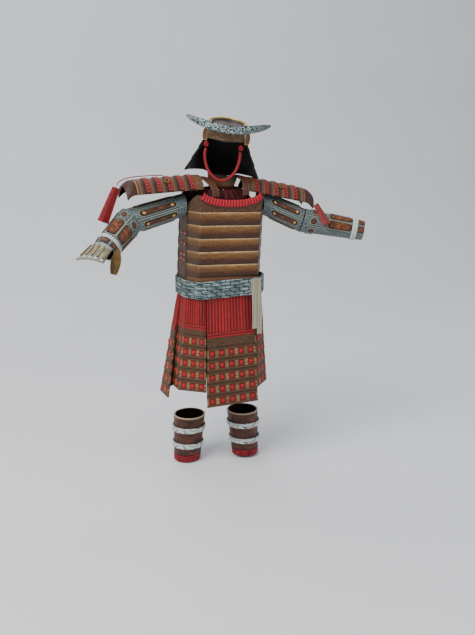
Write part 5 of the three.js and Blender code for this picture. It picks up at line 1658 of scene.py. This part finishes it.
NECK_LAMES = 3
NECK_TOP, NECK_HANG = 3.4, 24.4
NECK_TOP_RADIUS, NECK_FLARE = 13.0, 11.6
NECK_HALF_TURN = 1.64
NECK_DEPTH = 0.94
NECK_BACK_DROP, NECK_BACK_NARROW = 3.2, 4.5
neck_card = Finish("neck_guard_lames", roughness=0.55)
neck_turn, neck_down = neck_card.across_and_along()
neck_grain = neck_card.grain(neck_card.spot(neck_turn * 9.0, neck_down * 1.2), 1.0, 5.0, 0.6)
neck_brown = neck_card.ramp((neck_down / 8.13).fraction(), [
    (0.0, tint(128, 98, 68)), (0.35, tint(100, 70, 46)), (0.75, tint(66, 44, 30)), (0.94, tint(44, 28, 20)),
    (1.0, tint(150, 44, 44)),
])
neck_brown = neck_card.shade(neck_brown, neck_grain, 0.66, 1.3)
neck_end = neck_card.rise(abs(neck_turn), 0.972, 0.985)
neck_card.feed("Base Color", neck_card.blend(neck_end, neck_brown, tint(24, 20, 20)))
neck_card.emboss(neck_grain, 0.1)
black_card = Finish("black_lacquer_lining", roughness=0.6, specular=0.25)
black_grain = black_card.grain(black_card.on_object(), 300.0, 4.0)
black_card.feed("Base Color", black_card.blend(black_grain, tint(12, 11, 12), tint(34, 30, 30)))
black_card.emboss(black_grain, 0.05)
neck_steps = (0.0, 0.1, 0.3, 0.5, 0.7, 0.9, 0.97)
neck_rows = [(k + step) / NECK_LAMES for k in range(NECK_LAMES) for step in neck_steps]
neck_fall = np.array(neck_rows + [1.0])[::-1]
neck_u = np.linspace(-1, 1, 73)
neck_radius = (NECK_TOP_RADIUS + NECK_FLARE * neck_fall)[:, None]
neck_angle = math.pi / 2 + neck_u[None, :] * (NECK_HALF_TURN + 0.08 * (1 - neck_fall))[:, None]
neck_middle = np.maximum(0, np.cos(neck_u * NECK_BACK_NARROW))[None, :] ** 1.5
neck_height = (NECK_TOP - NECK_HANG * neck_fall)[:, None] - NECK_BACK_DROP * neck_fall[:, None] * neck_middle
neck_grid = np.stack([neck_radius * np.cos(neck_angle), neck_radius * np.sin(neck_angle) * NECK_DEPTH,
                      neck_height], axis=-1)
neck_proud = 0.45 * ((neck_fall * NECK_LAMES - 1e-6) % 1)
neck_guard = shell("helmet_neck_lames", moved(neck_grid, HEAD), flat_cut(neck_u, NECK_HANG * neck_fall),
                   [neck_card, black_card], outer=neck_proud[:, None])
fit_out(neck_guard, "dark_card", "helmet_neck_guard")
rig.sheet(neck_guard, flat=(0.0675, 0.032), area=0.00167, held="folded")

# ---------------------------------------------------------------- crest
# A wide crescent of embossed steel-grey card stands before the helmet, deepest in the middle, and
# rises to two pointed tips.
CREST_HALF = 27.6
CREST_DEPTH = 5.4
CREST_FRONT, CREST_BOW = -16.9, 10.4
CREST_MIDDLE, CREST_RISE = 9.1, 5.1
crest_steel = Finish("embossed_crest", roughness=0.42, metallic=0.25, specular=0.5)
crest_run, crest_up = crest_steel.across_and_along()
swirl = crest_steel.grain(crest_steel.spot(crest_run * 0.36, crest_up * 0.98), 1.0, 1.0)
scroll = (swirl * 46.0).sine() * 0.5 + 0.5
crest_fine = crest_steel.grain(crest_steel.spot(crest_run * 1.2, crest_up * 1.2), 1.6, 4.0, 0.65)
crest_mix = scroll * 0.45 + crest_fine * 0.55
crest_grey = crest_steel.ramp(crest_mix, [
    (0.32, tint(28, 38, 40)), (0.44, tint(74, 94, 96)), (0.57, tint(122, 146, 144)),
    (0.74, tint(206, 220, 214)),
])
pinkish = crest_steel.blend(0.5, crest_grey, tint(104, 98, 96))
crest_grey = crest_steel.blend(crest_steel.rise(crest_run, 6.0, 22.0), crest_grey, pinkish)
crest_grey = crest_steel.blend(crest_steel.rise(abs(crest_up), 0.86, 0.98), crest_grey, tint(40, 48, 50))
crest_steel.feed("Base Color", crest_grey)
crest_steel.emboss(crest_mix, 0.3)
crest_u, crest_v = np.linspace(-1, 1, 161), np.linspace(0, 1, 17)
share = np.sin(crest_u * math.pi / 2)[None, :]
depth = CREST_DEPTH * (1 - 0.93 * np.abs(crest_u) ** 2.4)[None, :]
lift = crest_v[:, None] - 0.5
crest_grid = np.stack([CREST_HALF * share + 0 * lift,
                       CREST_FRONT + CREST_BOW * share ** 2 - lift * depth * 0.25,
                       CREST_MIDDLE + CREST_RISE * np.abs(share) ** 1.9 + lift * depth], axis=-1)
roundness = np.sqrt(np.maximum(0.12, 1 - (2 * crest_v - 1) ** 2))[:, None]
belly = 0.8 * (1 - 0.6 * crest_u ** 2)[None, :] * roundness
waves = np.sin(crest_u * 41 + 2.6 * np.sin(crest_u * 13))[None, :]
ripple = 0.16 * waves * np.sin(crest_v * math.pi * 2)[:, None]
crest = shell("helmet_crest_crescent", moved(crest_grid, HEAD), flat_cut(crest_u * 30, crest_v * 2 - 1),
              [crest_steel], outer=belly + ripple, inner=-belly + ripple)
fit_out(crest, "steel_card", "helmet_crest")

# ---------------------------------------------------------------- throat guard
# A curved band of brown card below the chin cord closes the front of the neck. It is wider at its
# top, where it hangs inside the cord.
THROAT_FOOT, THROAT_TOP = -30, -21
THROAT_DEPTH = THROAT_TOP - THROAT_FOOT
THROAT_HALF_TURN = 1.9
THROAT_RADIUS, THROAT_FLARE = 8.0, 2.2
THROAT_X, THROAT_Y = 0.75, 0.5
throat_card = Finish("throat_band", roughness=0.55)
throat_run, throat_up = throat_card.across_and_along()
throat_grain = throat_card.grain(throat_card.spot(throat_run * 0.3, throat_up * 0.6), 1.4, 5.0, 0.6)
throat_brown = throat_card.ramp(throat_up / THROAT_DEPTH, [
    (0.0, tint(140, 46, 38)), (0.1, tint(60, 38, 28)), (0.35, tint(114, 84, 55)),
    (0.6, tint(88, 67, 47)), (1.0, tint(42, 33, 28)),
])
throat_card.feed("Base Color", throat_card.shade(throat_brown, throat_grain, 0.66, 1.3))
throat_card.emboss(throat_grain, 0.1)
throat_u = np.linspace(-THROAT_HALF_TURN, THROAT_HALF_TURN, 61)
throat_z = np.linspace(THROAT_FOOT, THROAT_TOP, 13)
throat_rise = ((throat_z - THROAT_FOOT) / THROAT_DEPTH)[:, None]
throat_radius = THROAT_RADIUS + THROAT_FLARE * throat_rise
throat_grid = np.stack([THROAT_X + throat_radius * np.cos(throat_u - math.pi / 2),
                        THROAT_Y + throat_radius * np.sin(throat_u - math.pi / 2),
                        throat_z[:, None] + 0 * throat_u], axis=-1)
throat_cut = flat_cut(throat_u * 9.4, throat_z - THROAT_FOOT)
throat = shell("throat_guard_band", moved(throat_grid, HEAD), throat_cut, [throat_card, dark_back_shade],
               outer=0.15 * np.sin(throat_rise * math.pi))
fit_out(throat, "lame_card", "throat_guard")

# ---------------------------------------------------------------- shin guards
# Each shin guard is a red-brown tube of lacquered card with a red hem. Two rough pale ties are
# bound round it, one under the knee and one at the calf.
SHIN_LENGTH = 34
SHIN_UP = np.array((0, 0, 1.0))
# middle of the foot and of the top of each tube
SHINS = {
    "right": ((-22.7, 9.2, -199.5), (-20.6, 8.6, -165.5)),
    "left": ((19.6, 0.6, -198.6), (17.6, 1.2, -165)),
}
SHIN_HEM = 5 / SHIN_LENGTH
SHIN_RADII = (9.4, 11.2)
SHIN_FLAT = (0.0705, 0.029)
SHIN_TIES = {"lower": 0.3, "upper": 0.66}
SHIN_TIE_DEPTH = 0.12
shin_card = Finish("shin_lacquer", roughness=0.5, specular=0.4)
shin_turn, shin_up = shin_card.across_and_along()
shin_grain = shin_card.grain(shin_card.spot(shin_turn * 6.0, shin_up * 0.22), 1.1, 5.0, 0.6)
shin_fine = shin_card.grain(shin_card.spot(shin_turn * 60.0, shin_up), 1.3, 4.0, 0.6)
shin_brown = shin_card.ramp(shin_grain * 0.6 + shin_fine * 0.4, [
    (0.34, tint(42, 26, 22)), (0.5, tint(84, 50, 38)), (0.66, tint(132, 80, 54)),
])
shin_streak = shin_card.grain(shin_card.spot(shin_turn * 30.0, shin_up * 0.5), 0.9, 3.0)
shin_brown = shin_card.blend(shin_card.rise(shin_streak, 0.6, 0.68) * 0.7, shin_brown, tint(30, 20, 18))
pale_line = shin_card.rise(shin_up, 33.1, 33.4)
shin_brown = shin_card.blend(pale_line * 0.8, shin_brown, tint(190, 172, 146))
shin_card.feed("Base Color", shin_brown)
shin_card.emboss(shin_grain + shin_fine * 0.5, 0.12)
hem_card = Finish("shin_hem_red", roughness=0.6)
hem_turn, hem_up = hem_card.across_and_along()
hem_grain = hem_card.grain(hem_card.spot(hem_turn * 14.0, hem_up * 0.4), 1.4, 4.0, 0.6)
hem_red = hem_card.ramp(hem_grain, [
    (0.3, tint(66, 12, 20)), (0.5, tint(134, 24, 38)), (0.72, tint(172, 46, 54)),
])
hem_mark = hem_card.grain(hem_card.spot(hem_turn * 46.0, hem_up * 0.25), 1.0, 2.0)
hem_red = hem_card.blend(hem_card.rise(hem_mark, 0.6, 0.66) * 0.7, hem_red, tint(44, 16, 18))
hem_card.feed("Base Color", hem_red)
hem_card.emboss(hem_grain, 0.12)
rough_tie = Finish("rough_shin_tie", roughness=0.8)
rough_run, rough_across = rough_tie.across_and_along()
rough_noise = rough_tie.grain(rough_tie.spot(rough_run * 0.32, rough_across * 0.5), 1.1, 4.0, 0.6)
rough_white = rough_tie.ramp(rough_noise, [
    (0.32, tint(120, 122, 116)), (0.5, tint(196, 204, 200)), (0.7, tint(232, 236, 232)),
])
mark = rough_tie.grain(rough_tie.spot(rough_run * 0.42, rough_across * 0.7), 1.0, 3.0, 0.6)
rough_white = rough_tie.blend(rough_tie.rise(mark, 0.56, 0.62) * 0.9, rough_white, tint(58, 44, 38))
# Painted shade: darker at both edges, where the band meets the tube.
tie_edge_shade = rough_tie.rise(abs(rough_across), 2.1, 1.5)
rough_tie.feed("Base Color", rough_tie.shade(rough_white, tie_edge_shade, 0.3, 1.0))
rough_tie.emboss(rough_noise, 0.2)
for side, (bottom, top) in SHINS.items():
    shin = limb(bottom, top, SHIN_RADII, SHIN_UP, SHIN_UP)
    turns = np.arange(72) / 72
    places = np.linspace(SHIN_HEM, 1, 22)
    facets = 0.08 * np.cos(turns * 2 * math.pi * 8)
    guard = shell(f"shin_guard_{side}_card", shin(turns[None, :], places[:, None]),
                  flat_cut(np.arange(73) / 72, places * SHIN_LENGTH), [shin_card, dark_back_shade],
                  outer=facets[None, :], wrap=True)
    fit_out(guard, "shin_card", f"shin_guard_{side}")
    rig.sheet(guard, flat=SHIN_FLAT, held="folded")
    hem_places = np.linspace(0, SHIN_HEM - 0.3 / SHIN_LENGTH, 6)
    hem_band = shell(f"shin_hem_{side}_card", shin(turns[None, :], hem_places[:, None]),
                     flat_cut(np.arange(73) / 72, hem_places * SHIN_LENGTH), [hem_card, dark_back_shade],
                     outer=0.15 + facets[None, :], wrap=True)
    fit_out(hem_band, "lacing_card", f"shin_hem_{side}")
    for place, low in SHIN_TIES.items():
        band_round(f"shin_tie_{place}_{side}_cloth", shin, low, low + SHIN_TIE_DEPTH, np.mean(SHIN_RADII),
                   SHIN_LENGTH, rough_tie, f"shin_tie_{place}_{side}", "tie_card", puff=0.45)

# ---------------------------------------------------------------- sizes and the end
# The outer size of the suit's frame and that of the finished suit are kept side by side.
seen_box = [list(corner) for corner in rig.bounds()]
with open("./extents.json", "w") as sizes:
    json.dump({"cad": cad_box, "visual": seen_box}, sizes)
